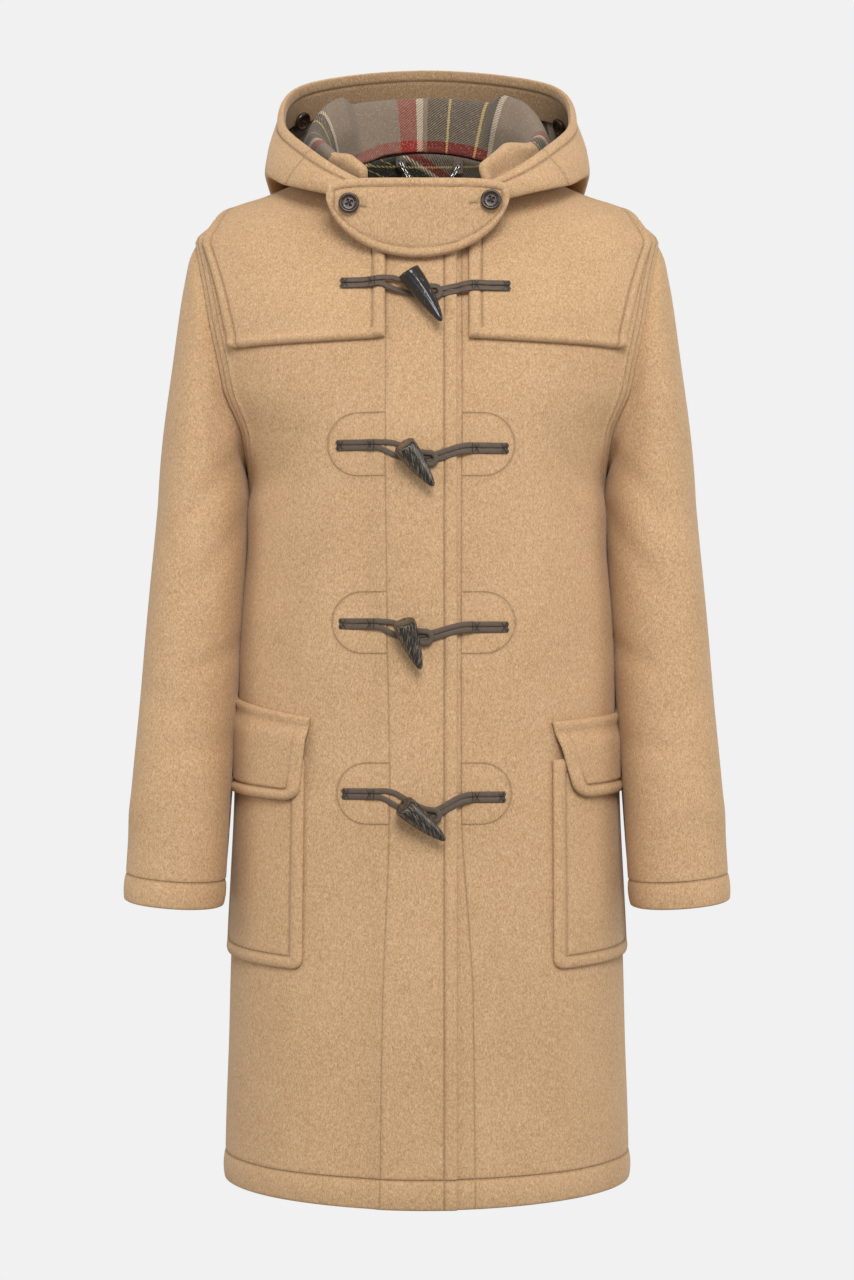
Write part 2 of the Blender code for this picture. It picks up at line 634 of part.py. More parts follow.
def hairpin(start, bend, near_x, widest):
    """Out along the upper strip, round the bend and back along the lower strip. The strips part
    at near_x, where their stitched stretch ends."""
    (start_x, start_z), (bend_x, bend_z) = start, bend
    side = 1 if bend_x > start_x else -1
    share = np.array([0, 0.25, 0.42, 0.55, 0.66, 0.77, 0.88, 1.0])
    x = start_x + (bend_x - start_x) * share
    z = start_z + (bend_z - start_z) * ease(share, 0.4, 1.0)
    tight = STRIP_SPACING / 2
    apart = tight + (widest - tight) * ease(side * x, side * near_x, side * (near_x + side * 0.018))
    turn = np.radians([54, 18, -18, -54])
    round_x = bend_x + side * apart[-1] * np.cos(turn)
    upper = np.stack([x, z + apart], axis=1)
    bend = np.stack([round_x, z[-1] + apart[-1] * np.sin(turn)], axis=1)
    lower = np.stack([x, z - apart], axis=1)
    return np.concatenate([upper, bend, lower[::-1]])


def make_fastening(number, row, leather, horn):
    z, right_x, left_x, wide_x, wide_z, tip_x, tip_z, out = row
    middle = ((wide_x + tip_x) / 2, (wide_z + tip_z) / 2)
    yoked = number == 1
    thong = hairpin((left_x, z), (middle[0] + 0.001, middle[1]), 0.02, STRIP_SPACING / 2)
    ribbon(f"thong_{number}", thong, THONG_HEIGHTS, yoked, leather)
    loop = hairpin((right_x, z), (middle[0] + 0.014, middle[1] + 0.002), -0.045, 0.0068)
    ribbon(f"loop_{number}", loop, LOOP_HEIGHTS, yoked, leather)
    make_toggle(f"toggle_{number}", (wide_x, wide_z), (tip_x, tip_z), out, horn)


def make_toggle(name, wide, tip, out, finish):
    """A horn toggle: round at the wide end, tapering and curving a little to the tip."""
    share = np.array([0.0, 0.03, 0.12, 0.35, 0.55, 0.72, 0.86, 0.96, 1.0])
    radius = TOGGLE_RADIUS * np.array([0.80, 0.96, 1.0, 0.95, 0.85, 0.68, 0.46, 0.22, 0.07])
    wide = Vector(on_front(*wide, out))
    tip = Vector(on_front(*tip, out - TOGGLE_TIP_DROP))
    axis = tip - wide
    turn = np.linspace(0, 2 * math.pi, 13)[:-1]
    bow = 0.05 * axis.length * np.sin(math.pi * share)
    grid = np.stack(
        [
            radius[:, None] * np.cos(turn) + bow[:, None],
            radius[:, None] * np.sin(turn) * 0.92,
            np.broadcast_to((share * axis.length)[:, None], (len(share), len(turn))),
        ],
        axis=-1,
    )
    mesh = bpy.data.meshes.new(name)
    mesh.from_pydata(grid.reshape(-1, 3).tolist(), [], grid_faces(*grid.shape[:2], closed=True))
    shape = bmesh.new()
    shape.from_mesh(mesh)
    bmesh.ops.holes_fill(shape, edges=[e for e in shape.edges if e.is_boundary], sides=0)
    bmesh.ops.recalc_face_normals(shape, faces=shape.faces)
    shape.to_mesh(mesh)
    shape.free()
    turned = axis.to_track_quat("Z", "Y").to_matrix().to_4x4()
    add(name, mesh, finish, Matrix.Translation(wide) @ turned)


# ---------------------------------------------------------------- buttons and chain
def make_button(name, centre, facing, finish):
    """A turned button: a raised rim round a dished middle. Its profile runs from the top out."""
    rim, dish = BUTTON_THICKNESS, BUTTON_THICKNESS * 0.62
    profile = (
        (0, dish),
        (BUTTON_RADIUS * 0.60, dish),
        (BUTTON_RADIUS * 0.75, rim),
        (BUTTON_RADIUS * 0.92, rim),
        (BUTTON_RADIUS, rim * 0.6),
        (BUTTON_RADIUS * 0.93, 0),
        (0, 0),
    )
    mesh = bpy.data.meshes.new(name)
    edges = [(i, i + 1) for i in range(len(profile) - 1)]
    mesh.from_pydata([(radius, 0, height) for radius, height in profile], edges, [])
    turned = Vector(facing).to_track_quat("Z", "Y").to_matrix().to_4x4()
    obj = add(name, mesh, finish, Matrix.Translation(Vector(centre)) @ turned)
    spin = obj.modifiers.new("turn", "SCREW")
    spin.steps = spin.render_steps = 14
    spin.use_merge_vertices = True
    spin.merge_threshold = 0.0001


def make_hood_buttons(hood_panel, finish):
    """One button inside each end of the rim, which fasten the throat tab when the hood is up."""
    for name, at, along in HOOD_BUTTONS:
        spot = hood_panel.patch(np.array([[at % (HOOD_COLUMNS - 1)]]), np.array([[along]]))
        inwards = -Vector(spot.normals[0, 0])
        stand = CLOTH + FACING_THICKNESS + 6 * LAYER_GAP
        make_button(name, Vector(spot.points[0, 0]) + inwards * stand, inwards, finish)


def make_chain(leather, steel):
    """The hanging chain inside the back of the neck, between two leather tabs."""
    ends = []
    for name, x, tall in (("chain_tab_left", 0.0315, 0.015), ("chain_tab_right", -0.0265, 0.010)):
        angle = np.arccos(x / 0.088)
        seam = body(angle, NECK_LEVEL) - (CLOTH + 0.0020) * body_normal(angle, NECK_LEVEL)
        middle = Vector(seam) + Vector((0, -0.0012, -tall / 2))
        shape = bmesh.new()
        bmesh.ops.create_cube(shape, size=1)
        bmesh.ops.scale(shape, vec=(0.010, 0.0018, tall), verts=shape.verts)
        mesh = bpy.data.meshes.new(name)
        shape.to_mesh(mesh)
        shape.free()
        add(name, mesh, leather, Matrix.Translation(middle))
        ends.append(middle + Vector((0, -0.0026, 0)))
    left, right = ends
    curve = bpy.data.curves.new("hanging_chain", "CURVE")
    curve.dimensions = "3D"
    curve.bevel_depth = 0.0013
    curve.bevel_resolution = 1
    curve.use_fill_caps = True
    line = curve.splines.new("POLY")
    shares = np.linspace(0, 1, 15)
    line.points.add(len(shares) - 1)
    for point, t in zip(line.points, shares):
        sag = 4 * t * (1 - t)
        spot = right.lerp(left, t) + Vector((0, -0.003 * sag, -0.030 * sag))
        point.co = (*spot, 1)
    obj = bpy.data.objects.new("hanging_chain", curve)
    COAT.objects.link(obj)
    curve.materials.append(steel)


# ---------------------------------------------------------------- the coat
def build():
    wool = material("camel_wool", CAMEL, 0.95)
    leather = material("brown_leather", LEATHER, 0.6)
    horn = material("dark_horn", HORN, 0.3)
    button = material("horn_button", BUTTON, 0.35)
    steel = material("steel_chain", STEEL, 0.25, 1.0)
    front_left = front_panel(UNDERLAP_EDGE_X, raised=False)
    front_right = front_panel(OVERLAP_EDGE_X, raised=True).mirrored()
    back = back_panel()
    cloth("front_left", front_left, wool)
    cloth("front_right", front_right, wool)
    cloth("back", back, wool)
    make_yoke(front_left, front_right, back, wool)
    make_sleeves(wool)
    make_pockets(front_left, wool)
    hood_panel = make_hood(wool)
    make_tab(wool, button)
    for number, row in enumerate(TOGGLE_ROWS, 1):
        make_fastening(number, row, leather, horn)
    make_hood_buttons(hood_panel, button)
    make_chain(leather, steel)


clear_scene()
COAT = bpy.data.collections.new("duffle_coat")
bpy.context.scene.collection.children.link(COAT)
build()
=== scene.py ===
"""A hooded duffle coat in camel wool with a checked reverse, filled out as worn, with no wearer.

Everything is in metres. +Z is up and the front faces -Y, and the origin is the middle of the neck.
"Right" and "left" are the wearer's, so right lies on -X. Each piece of cloth is a surface worked
out on a grid: its columns run round the coat and its rows along it.
"""

import math

import bpy
import numpy as np
from bpy.props import FloatProperty, FloatVectorProperty, PointerProperty
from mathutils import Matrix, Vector


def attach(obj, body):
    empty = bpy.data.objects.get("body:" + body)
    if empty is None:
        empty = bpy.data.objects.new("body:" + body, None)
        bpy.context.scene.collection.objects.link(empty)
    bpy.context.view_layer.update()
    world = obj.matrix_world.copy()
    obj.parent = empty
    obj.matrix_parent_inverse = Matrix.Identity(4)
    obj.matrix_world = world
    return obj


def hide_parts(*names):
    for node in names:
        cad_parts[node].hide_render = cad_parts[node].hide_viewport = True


bl_info = {
    "name": "Duffle Coat",
    "version": (1, 0, 0),
    "blender": (4, 5, 0),
    "location": "3D Viewport > Sidebar > Coat",
    "description": "Dresses a duffle coat in wool, horn and leather",
    "category": "Object",
}

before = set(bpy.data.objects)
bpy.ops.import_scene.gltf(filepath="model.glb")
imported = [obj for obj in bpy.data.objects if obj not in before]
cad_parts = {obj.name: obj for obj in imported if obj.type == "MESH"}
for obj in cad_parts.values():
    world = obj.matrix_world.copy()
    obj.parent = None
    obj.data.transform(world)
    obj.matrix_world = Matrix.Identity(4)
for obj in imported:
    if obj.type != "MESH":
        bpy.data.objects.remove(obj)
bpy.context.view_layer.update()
BODY = "root"
FORWARD = (0.0, -1.0, 0.0)

# -------- sizes
CLOTH = 0.003  # the heavy wool, one layer
GAP = 0.0003  # between two pieces at a seam
LAYER_GAP = 0.0005  # between a layer and the cloth that it lies on
HEM_LEVEL = -0.927
NECK_LEVEL = 0.012

ARMHOLE_LEVEL = -0.1635  # the armhole's middle
ARMHOLE_HALF_HEIGHT = 0.108
ARMHOLE_BOTTOM = ARMHOLE_LEVEL - ARMHOLE_HALF_HEIGHT
ARMHOLE_TOP = ARMHOLE_LEVEL + ARMHOLE_HALF_HEIGHT
ARMHOLE_SPREAD = math.radians(30)  # from the side to the armhole's front or back edge
SIDE_RADIUS = 0.19  # turns a width round the side into an angle
SIDE_SEAM_DRIFT = math.radians(24)  # how far behind the side the seam runs at the hip
SIDE_SEAM_STRAIGHT_LEVEL = -0.42
YOKE_TOP_MARGIN = 0.0195  # from the armhole's top to the yoke's edge
YOKE_SIDE_MARGIN = 0.0265  # and from its front and back edges

OVERLAP_EDGE_X = 0.027  # the upper front's edge, past the middle
UNDERLAP_EDGE_X = 0.036  # the under front's edge, past the middle the other way
YOKE_EDGE_X = 0.0375
LIFT_NONE_X = 0.055  # the upper front is raised over the under one up to here
PLAIN_FROM_X = 0.095  # no sewn line runs down a front past here

YOKE_TOP_LEVEL = 0.0100
YOKE_FRONT_LEVEL = -0.1380
YOKE_SIDE_LEVEL = -0.1560
YOKE_BACK_LEVEL = -0.1790

POCKET_TOP_LEVEL = -0.522
POCKET_BOTTOM_LEVEL = -0.716
POCKET_BACK_SHARE = 5.2 / 6  # how far round the plain front the pocket goes
POCKET_THICKNESS = 0.003
FLAP_BOTTOM_LEVEL = -0.566
FLAP_THICKNESS = 0.003

FACING_WIDTH = 0.040
FACING_THICKNESS = 0.002

TAB_MIDDLE_X = -0.0084
TAB_HALF_WIDTH = 0.083
TAB_TOP_Z = -0.0095
TAB_CORNER_Z = -0.0175
TAB_BOTTOM_Z = -0.0815
TAB_FRONT_Y = -0.1155  # at the top, in the middle
TAB_SIDE_Y = -0.1136
TAB_LEAN = 0.0050  # how much closer to the coat its lower edge lies
TAB_THICKNESS = 0.005
TAB_ROUND = 0.985  # how much of its ellipse the lower edge takes up

BUTTON_RADIUS = 0.0094
BUTTON_THICKNESS = 0.0036

STRIP_WIDTH = 0.0049
STRIP_THICKNESS = 0.0018
STRIP_POWER = 3.4  # of its rounded section
STRIP_SPACING = 0.0052  # between the middles of the two strips where they are sewn down
TOGGLE_RADIUS = 0.0092

# Level of each ring of the coat's body, then its half width, its depth to the front and to the
# back, the power of its rounded-square outline, and how far the ring falls at the front and
# rises at the back.
BODY_RINGS = (
    (-0.9270, 0.1895, 0.158, 0.150, 2.50, 0.009, 0.000),  # hem
    (-0.7700, 0.1835, 0.156, 0.146, 2.50, 0.000, 0.000),
    (-0.6200, 0.1755, 0.151, 0.140, 2.50, 0.000, 0.000),  # pocket
    (-0.5000, 0.1695, 0.146, 0.134, 2.50, 0.000, 0.000),
    (-0.3900, 0.1655, 0.141, 0.130, 2.50, 0.000, 0.000),  # waist
    (-0.2900, 0.1620, 0.138, 0.128, 2.45, 0.000, 0.000),  # chest
    (-0.2400, 0.1760, 0.136, 0.126, 2.40, 0.004, 0.000),
    (-0.1900, 0.2050, 0.131, 0.122, 2.40, 0.010, 0.000),
    (-0.1200, 0.2190, 0.122, 0.113, 2.35, 0.022, 0.000),
    (-0.0555, 0.2153, 0.104, 0.093, 2.20, 0.040, 0.000),  # shoulder tip
    (-0.0400, 0.2000, 0.101, 0.090, 2.15, 0.045, 0.004),
    (-0.0255, 0.1800, 0.099, 0.086, 2.10, 0.048, 0.010),
    (-0.0165, 0.1520, 0.096, 0.080, 2.05, 0.046, 0.016),
    (0.0120, 0.0880, 0.084, 0.064, 2.00, 0.054, 0.027),  # neck seam
)

# The sides' fullness: level, half height, and how far out.
SIDE_BELLS = (
    (-0.312, 0.028, 0.0048),
    (-0.385, 0.070, 0.0055),
    (-0.475, 0.075, 0.0075),
    (-0.660, 0.130, 0.0022),
)
SIDE_BELL_SPREAD = (0.30, 0.85)  # from the side, in radians: full up to here, and none past here
HEM_DELAY = 1.3  # how much later the hem's fall comes round the side than higher up
HEM_DELAY_HEIGHT = 0.12

# Rings of the left sleeve below the cap: level, the middle of the ring and its half sizes.
SLEEVE_RINGS = (
    (-0.300, 0.2078, -0.008, 0.0432, 0.078),
    (-0.370, 0.2130, -0.020, 0.0442, 0.072),
    (-0.440, 0.2179, -0.033, 0.0448, 0.066),
    (-0.510, 0.2224, -0.045, 0.0455, 0.060),
    (-0.580, 0.2267, -0.055, 0.0462, 0.055),
    (-0.630, 0.2300, -0.062, 0.0459, 0.052),
    (-0.668, 0.2330, -0.066, 0.0450, 0.050),
)
SLEEVE_POWER = 2.2
CUFF_FALL = 0.003  # the cuff's front hangs lower than its back by twice this
CUFF_RISE = 0.0035  # and its outer side is higher than its inner one by twice this
SLEEVE_RADIUS = 0.058  # turns its creases' degrees into a width
SLEEVE_INSET = 0.0012  # how far inside the armhole's edge it starts

# The hood's cloth runs from the neck seam up to a ridge, down behind it, round the fold and up to
# the rim. Each table gives one of those lines on the left half, from the throat to the back.
HOOD_SEAM_ANGLES = (-69, -52, -30, 0, 45, 90)  # round the neck ring, in degrees
HOOD_RIDGE = (
    (0.034, -0.090, -0.033),
    (0.060, -0.076, -0.013),
    (0.092, -0.038, 0.018),
    (0.107, 0.014, 0.048),
    (0.080, 0.062, 0.081),
    (0.000, 0.080, 0.091),
)
HOOD_DROP = (
    (0.038, -0.096, -0.035),
    (0.072, -0.085, -0.018),
    (0.110, -0.046, 0.001),
    (0.124, 0.012, 0.019),
    (0.094, 0.094, 0.018),
    (0.000, 0.116, 0.004),
)
HOOD_FOLD = (
    (0.041, -0.104, -0.034),
    (0.084, -0.099, -0.024),
    (0.130, -0.062, -0.010),
    (0.150, 0.008, 0.004),
    (0.116, 0.114, -0.048),
    (0.000, 0.140, -0.102),
)
HOOD_SIDE = (
    (0.038, -0.108, -0.025),
    (0.078, -0.105, -0.014),
    (0.124, -0.070, 0.004),
    (0.150, 0.008, 0.032),
    (0.134, 0.128, 0.030),
    (0.000, 0.172, 0.015),
)
HOOD_RIM = (
    (0.033, -0.106, -0.015),
    (0.063, -0.100, -0.007),
    (0.106, -0.066, 0.024),
    (0.137, 0.008, 0.064),
    (0.118, 0.095, 0.112),
    (0.000, 0.135, 0.132),
)
# Each hood button: its share of the way round from the back to the throat, and along to the rim.
HOOD_BUTTONS = (("hood_button_left", 0.2313, 0.912), ("hood_button_right", -0.2063, 0.925))

# The four fastenings: height, x where the right strap and the left strap end, the toggle's wide
# end and tip as x and z, and how far its axis stands out from the body at the wide end.
TOGGLE_ROWS = (
    (-0.1080, -0.0785, 0.0755, -0.0172, -0.1022, 0.0130, -0.1455, 0.0201),
    (-0.2540, -0.0820, 0.0735, -0.0200, -0.2540, 0.0060, -0.2912, 0.0199),
    (-0.4147, -0.0795, 0.0735, -0.0200, -0.4122, -0.0055, -0.4546, 0.0196),
    (-0.5668, -0.0765, 0.0705, -0.0205, -0.5752, 0.0160, -0.6064, 0.0199),
)
TOGGLE_TIP_DROP = 0.0028  # the tip's axis lies this much closer to the cloth
# How far a strap's underside stands out from the body along x, on the plain front and over the
# yoke. It rises over each cloth edge, and the loop rises over the thong near the toggle.
LAP = CLOTH + GAP
YOKE_OUT = LAYER_GAP + CLOTH
LOOP_HEIGHTS = (
    (-0.0800, GAP, YOKE_OUT + 0.0014),
    (-0.0600, GAP, YOKE_OUT + 0.0018),
    (-0.0420, LAP + LAYER_GAP, YOKE_OUT + LAP + 0.0024),
    (-0.0330, LAP + LAYER_GAP, YOKE_OUT + LAP + 0.0012),
    (-0.0220, LAP + LAYER_GAP, LAP + 0.0026),
    (-0.0160, LAP + 0.0026, LAP + 0.0026),
)
THONG_HEIGHTS = (
    (0.0285, LAP + GAP, LAP + GAP),
    (0.0330, LAP + GAP, YOKE_OUT + 0.0014),
    (0.0450, GAP, YOKE_OUT + 0.0024),
    (0.0560, GAP, YOKE_OUT + 0.0014),
)

# -------- sewing
HEM_STITCH = 0.025  # above the hem's edge
HEM_ROLL = 0.0016  # how far the roll stands out, and so with every other _ROLL
CUFF_STITCH = 0.024
CUFF_ROLL = 0.0012
FRONT_SWELL = 0.0009  # how far the cloth's slow waves stand out, and so with every _SWELL
BACK_SWELL = 0.0014
SLEEVE_SWELL = 0.0011
POCKET_SWELL = 0.0006
HOOD_SWELL = 0.0012
EDGE_STITCH = 0.0117  # from a front's edge
EDGE_ROLL = 0.0011
LAP_STITCHES = (0.009, 0.018)  # from the armhole's edge
LAP_HEIGHT = 0.0024  # how far the cloth beside the armhole is raised
LAP_FADE = (0.0185, 0.0225)  # from the armhole's edge: raised up to here, and flat past here
LAP_WIDTH = 0.027  # of the close columns beside the armhole
LAP_BELOW = 0.03  # how far below the armhole the lap still runs
YOKE_STITCH = 0.0118
YOKE_ROLLS = (0.0018, 0.0014)  # along its outer edge and its front edge
YOKE_FOOT = (0.0024, 0.0050, 0.0042)  # the puff over its lower edge: how far out, height, width
RIM_STITCH = 0.0105
RIM_ROLL = 0.0018
POCKET_STITCH = 0.0112
POCKET_ROLL = 0.0016
POCKET_CORNER = 0.010  # the radius of its lower corner
FLAP_CORNER = 0.014
CAMEL_EDGE = 0.0025  # how far the camel goes round a free edge
UNSEWN = 1.0  # the distance to a sewn line where there is none
STITCH_LENGTH = 0.0034
POCKET_EDGES = {"right": (0.1090, 0.1110), "left": (0.1120, 0.1125)}  # at the top and the bottom
POCKET_SLOPES = (0.008, 0.014)  # at the bottom and the top
FLAP_EDGES = {"right": (0.1035, 0.1125), "left": (0.1110, 0.1300)}
FLAP_TOPS = {"right": -0.4735, "left": -0.4915}
FLAP_SLOPES = {"right": (0.007, 0.024), "left": (0.005, 0.010)}
FLAP_BAND = 0.0105  # from the flap's top to the line sewn across it
FLAP_ROLL = 0.0010
FLAP_FULLNESS = 1.4  # how much more its lower edge is rolled, as a share
TAB_STITCH = 0.0085
TAB_PAD = 0.0014
TAB_DIP = (0.0018, 0.010)  # under a button: depth and half width
TAB_SLIT = (0.0016, 0.0012, 0.0035)  # its depth, half width and half length
TAB_HOLES = ((-0.0706, -0.0362, -0.0592), (0.0580, -0.0330, 0.0422))  # button x, z, and slit x

# -------- the hood's folds and facing
HOOD_HALF_WIDTH = 0.27  # of its cloth, from the back to the throat
HOOD_FLAT_HALF_WIDTH = 0.31
FACING_START = 0.0006  # in from the rim
THROAT_FACING = 0.012  # how much wider it is cut at the throat
HOOD_FOLD_STARTS = (0.058, 0.048)  # the folds' inner edges, right and left of the middle
HOOD_FOLD_SPREAD = 0.017  # how much further out they start at the ridge
HOOD_FOLD_HEIGHT = 0.075
HOOD_FOLD_DEPTH = 0.020
HOOD_FOLD_FADE = (0.088, 0.128)  # from the middle: full up to here, and none past here
HOOD_FOLD_SPAN = (0.01, 0.09, 0.20, 0.36)  # along: starts, is full, is full still, ends
# The camel folds beside the throat: middle x and z, half width, half height, and how far out.
HOOD_MOUNDS = ((0.074, 0.003, 0.038, 0.026, 0.018), (-0.0755, -0.006, 0.020, 0.021, 0.010))
MOUND_WAY = (0.80, -0.45, 0.35)  # inwards, forwards and up
FOLD_WAY = (0.0, -0.95, 0.30)
HOOD_SIDE_SEAM = 0.60  # its share of the way from the back to the throat
HOOD_OUTSIDE = 0.62  # the share of the way along where the outside starts
FACING_END = 0.979  # the share of the way round where the facing stops

# -------- fastenings, buttons and chain
STRAP_FALL = 0.0014  # how much lower a thong is sewn on than its loop, halved
CROSS_INSETS = (0.0048, 0.006)  # from a strap's end, and from where its strips part
BAR_INSETS = (0.0021, 0.0022)
CROSS_WIDTH = 0.0045
THONG_PAST = (0.003, 0.0)  # from the toggle's hole to the middle of the bend, along x and z
LOOP_PAST = (0.0135, 0.001)
# Where the strips part, half their greatest distance, and how far out they lie.
THONG_RUN = (0.0385, STRIP_SPACING / 2, THONG_HEIGHTS)
LOOP_RUN = (-0.045, 0.0054, LOOP_HEIGHTS)
TOGGLE_CUT = 0.34  # the wide end's slant: how far it leans to the front over its width
TOGGLE_HOLE = 0.34  # its share of the way from the wide end to the tip
CHAIN_PITCH = 0.0033
CHAIN_WIRE = 0.00042
BUTTON_TURN = 0.3  # of its holes, in radians
BUTTON_HOLE = 0.19  # from the middle, as a share of its radius, along x and y

# -------- floor and light
FLOOR_FADE = (0.7, 1.3)  # how far out the floor turns into the glow
LIGHTS = (  # place, width and setting
    ("front_light", (0.5, -4.2, 2.6), 2.6, "key"),
    ("left_light", (-3.0, -1.2, 0.6), 1.8, "fill"),
    ("right_light", (3.0, -1.2, 0.6), 1.8, "fill"),
)
LIGHT_AIM = (0.0, 0.0, -0.40)
FLOOR_RINGS = (0.0, 0.5, 1.0, 1.5, 2.0, 3.0, 4.0, 6.0, 9.0, 14.0, 20.0)

# -------- check, sewn patches and creases
# The check's bands, over and over: width and colour.
SETT = (
    (0.044, "greige"), (0.014, "red"), (0.005, "cream"), (0.004, "greige"), (0.015, "moss"),
    (0.002, "gold"), (0.024, "slate"), (0.002, "gold"), (0.012, "moss"), (0.004, "cream"),
    (0.026, "greige"),
)
# Where the facing's line runs down each front: level, and x on the left half.
RIGHT_FACING_LINE = (
    (-0.934, 0.0421), (-0.7503, 0.0394), (-0.5711, 0.0331), (-0.3919, 0.0358), (-0.2306, 0.0372),
)
LEFT_FACING_LINE = (
    (-0.907, 0.0430), (-0.750, 0.0412), (-0.570, 0.0305), (-0.390, 0.0305), (-0.210, 0.0314),
)
# The sewn patch behind each of the three lower fastenings: its middle, half height, and how far
# out it goes on the right front and on the left.
PATCHES = (
    (-0.2524, 0.02845, 0.0896, 0.0789),
    (-0.4127, 0.02760, 0.0851, 0.0789),
    (-0.5657, 0.02730, 0.0811, 0.0757),
)
# Soft creases in the fronts on the left half: from x, z to x, z, then half width and depth.
FRONT_CREASES = (
    (0.150, -0.300, 0.105, -0.235, 0.011, -0.0016),
    (0.158, -0.330, 0.120, -0.300, 0.010, -0.0012),
    (0.060, -0.700, 0.075, -0.900, 0.022, -0.0022),
    (0.120, -0.760, 0.135, -0.925, 0.020, 0.0024),
    (0.095, -0.330, 0.080, -0.520, 0.026, 0.0014),
    (0.020, -0.180, 0.014, -0.380, 0.020, 0.0010),
    (0.150, -0.420, 0.118, -0.475, 0.014, -0.0012),
)
# Soft creases in the left sleeve: from turn, level to turn, level (turns in degrees, 90 is the
# front), then half width and depth.
SLEEVE_CREASES = (
    (150, -0.250, 60, -0.330, 0.014, -0.0030),
    (165, -0.300, 80, -0.395, 0.012, -0.0024),
    (170, -0.430, 95, -0.455, 0.011, -0.0026),
    (30, -0.470, 110, -0.505, 0.015, -0.0020),
    (165, -0.520, 70, -0.530, 0.013, -0.0024),
    (10, -0.590, 85, -0.570, 0.016, 0.0020),
    (60, -0.300, 40, -0.560, 0.022, 0.0022),
    (200, -0.420, 280, -0.470, 0.014, -0.0030),
    (210, -0.490, 300, -0.520, 0.014, -0.0024),
)


# -------- tables and curves
def smooth(at, knots, values):
    """A cubic through a table's values that never overshoots them: its slope at each value is the
    harmonic mean of the two rises beside it."""
    at = np.clip(at, knots[0], knots[-1])
    step = np.diff(knots)
    rise = np.diff(values) / step
    slope = np.zeros(len(knots))
    slope[0], slope[-1] = rise[0], rise[-1]
    steady = rise[1:] * rise[:-1] > 0
    mean = 2 * rise[1:] * rise[:-1] / np.where(steady, rise[1:] + rise[:-1], 1)
    slope[1:-1] = np.where(steady, mean, 0)
    i = np.clip(np.searchsorted(knots, at, side="right") - 1, 0, len(step) - 1)
    t = (at - knots[i]) / step[i]
    return (
        values[i] * (1 + 2 * t) * (1 - t) ** 2
        + values[i + 1] * t * t * (3 - 2 * t)
        + step[i] * t * (1 - t) * (slope[i] * (1 - t) - slope[i + 1] * t)
    )


def ease(at, low, high):
    """0 before low, 1 after high, and between them three times the share squared less twice its
    cube."""
    t = np.clip((at - low) / (high - low), 0, 1)
    return t * t * (3 - 2 * t)


def bell(distance, width):
    """A bell curve: one in the middle, and e to the minus one at its half width."""
    return np.exp(-((distance / width) ** 2))


def rounded(c, s, power):
    """How far out a rounded square lies in the direction of a cosine and a sine: there the two to
    a power add up to one."""
    return (np.abs(c) ** power + np.abs(s) ** power) ** (-1 / power)


def spline(points, at):
    """Points on a Catmull-Rom curve through points; at runs from 0 up to the last one's number."""
    points = np.asarray(points, float)
    ends = np.concatenate([[2 * points[0] - points[1]], points, [2 * points[-1] - points[-2]]])
    i = np.clip(np.floor(at).astype(int), 0, len(points) - 2)
    t = (at - i).reshape((-1,) + (1,) * (points.ndim - 1))
    a, b, c, d = ends[i], ends[i + 1], ends[i + 2], ends[i + 3]
    return 0.5 * (
        2 * b + (c - a) * t + (2 * a - 5 * b + 4 * c - d) * t**2 + (3 * b - a - 3 * c + d) * t**3
    )


def runs(points):
    """The distance run along a grid's columns from their first row, and back from their last."""
    run = lengths(points, 0)
    return run, run[-1:] - run


def unit(vectors):
    """The vectors, each one metre long."""
    return vectors / np.maximum(np.linalg.norm(vectors, axis=-1, keepdims=True), 1e-12)


def spaced(start, end, step, close=()):
    """Places from start to end, at most step apart, and closer together beside each of close."""
    beside = np.array([0, 0.0007, 0.0016, 0.003, 0.005])
    marks = [start, end]
    for place in close:
        marks += [*(place + beside), *(place - beside)]
    marks = np.unique(np.round([m for m in marks if start <= m <= end], 6))
    runs = []
    for low, high in zip(marks, marks[1:]):
        runs.append(np.linspace(low, high, math.ceil((high - low) / step) + 1)[:-1])
    return np.concatenate([*runs, marks[-1:]])


def grid_normals(points):
    """A grid's outward direction: the cross product of its steps across and along."""
    return unit(np.cross(np.gradient(points, axis=1), np.gradient(points, axis=0)))


def lengths(points, axis):
    """The distance run along a grid's rows or columns up to each of its points."""
    steps = np.linalg.norm(np.diff(points, axis=axis), axis=-1)
    start = np.zeros_like(np.take(steps, [0], axis=axis))
    return np.concatenate([start, np.cumsum(steps, axis=axis)], axis=axis)


# -------- the body's surface
def body_ring(level):
    """The sizes of the body's ring at each level, in its table's order."""
    levels, *sizes = np.array(BODY_RINGS).T
    return [smooth(level, levels, size) for size in sizes]


def body(angle, level):
    """The body's outer face: at each level a rounded square, on which cosine and sine to a power
    add up to one, stretched to its width and depths. angle is 0 on the left side and -90 degrees
    at the front, where the ring also falls, later round the side at the hem than above it."""
    half, front, back, power, fall, rise = body_ring(level)
    c, s = np.cos(angle), np.sin(angle)
    reach = rounded(c, s, power)
    depth = np.where(s < 0, front, back)
    later = HEM_DELAY * (1 - ease(level, HEM_LEVEL, HEM_LEVEL + HEM_DELAY_HEIGHT))
    height = level + np.where(s < 0, -fall, rise) * np.abs(s) ** (2 + later)
    return np.stack([reach * half * c, reach * depth * s, height], axis=-1)


def body_normal(angle, level):
    """The body's outward direction: the cross product of the steps to its neighbours."""
    step = 1e-4
    level = np.clip(level, HEM_LEVEL + step, NECK_LEVEL - step)
    across = body(angle + step, level) - body(angle - step, level)
    along = body(angle, level + step) - body(angle, level - step)
    return unit(np.cross(across, along))


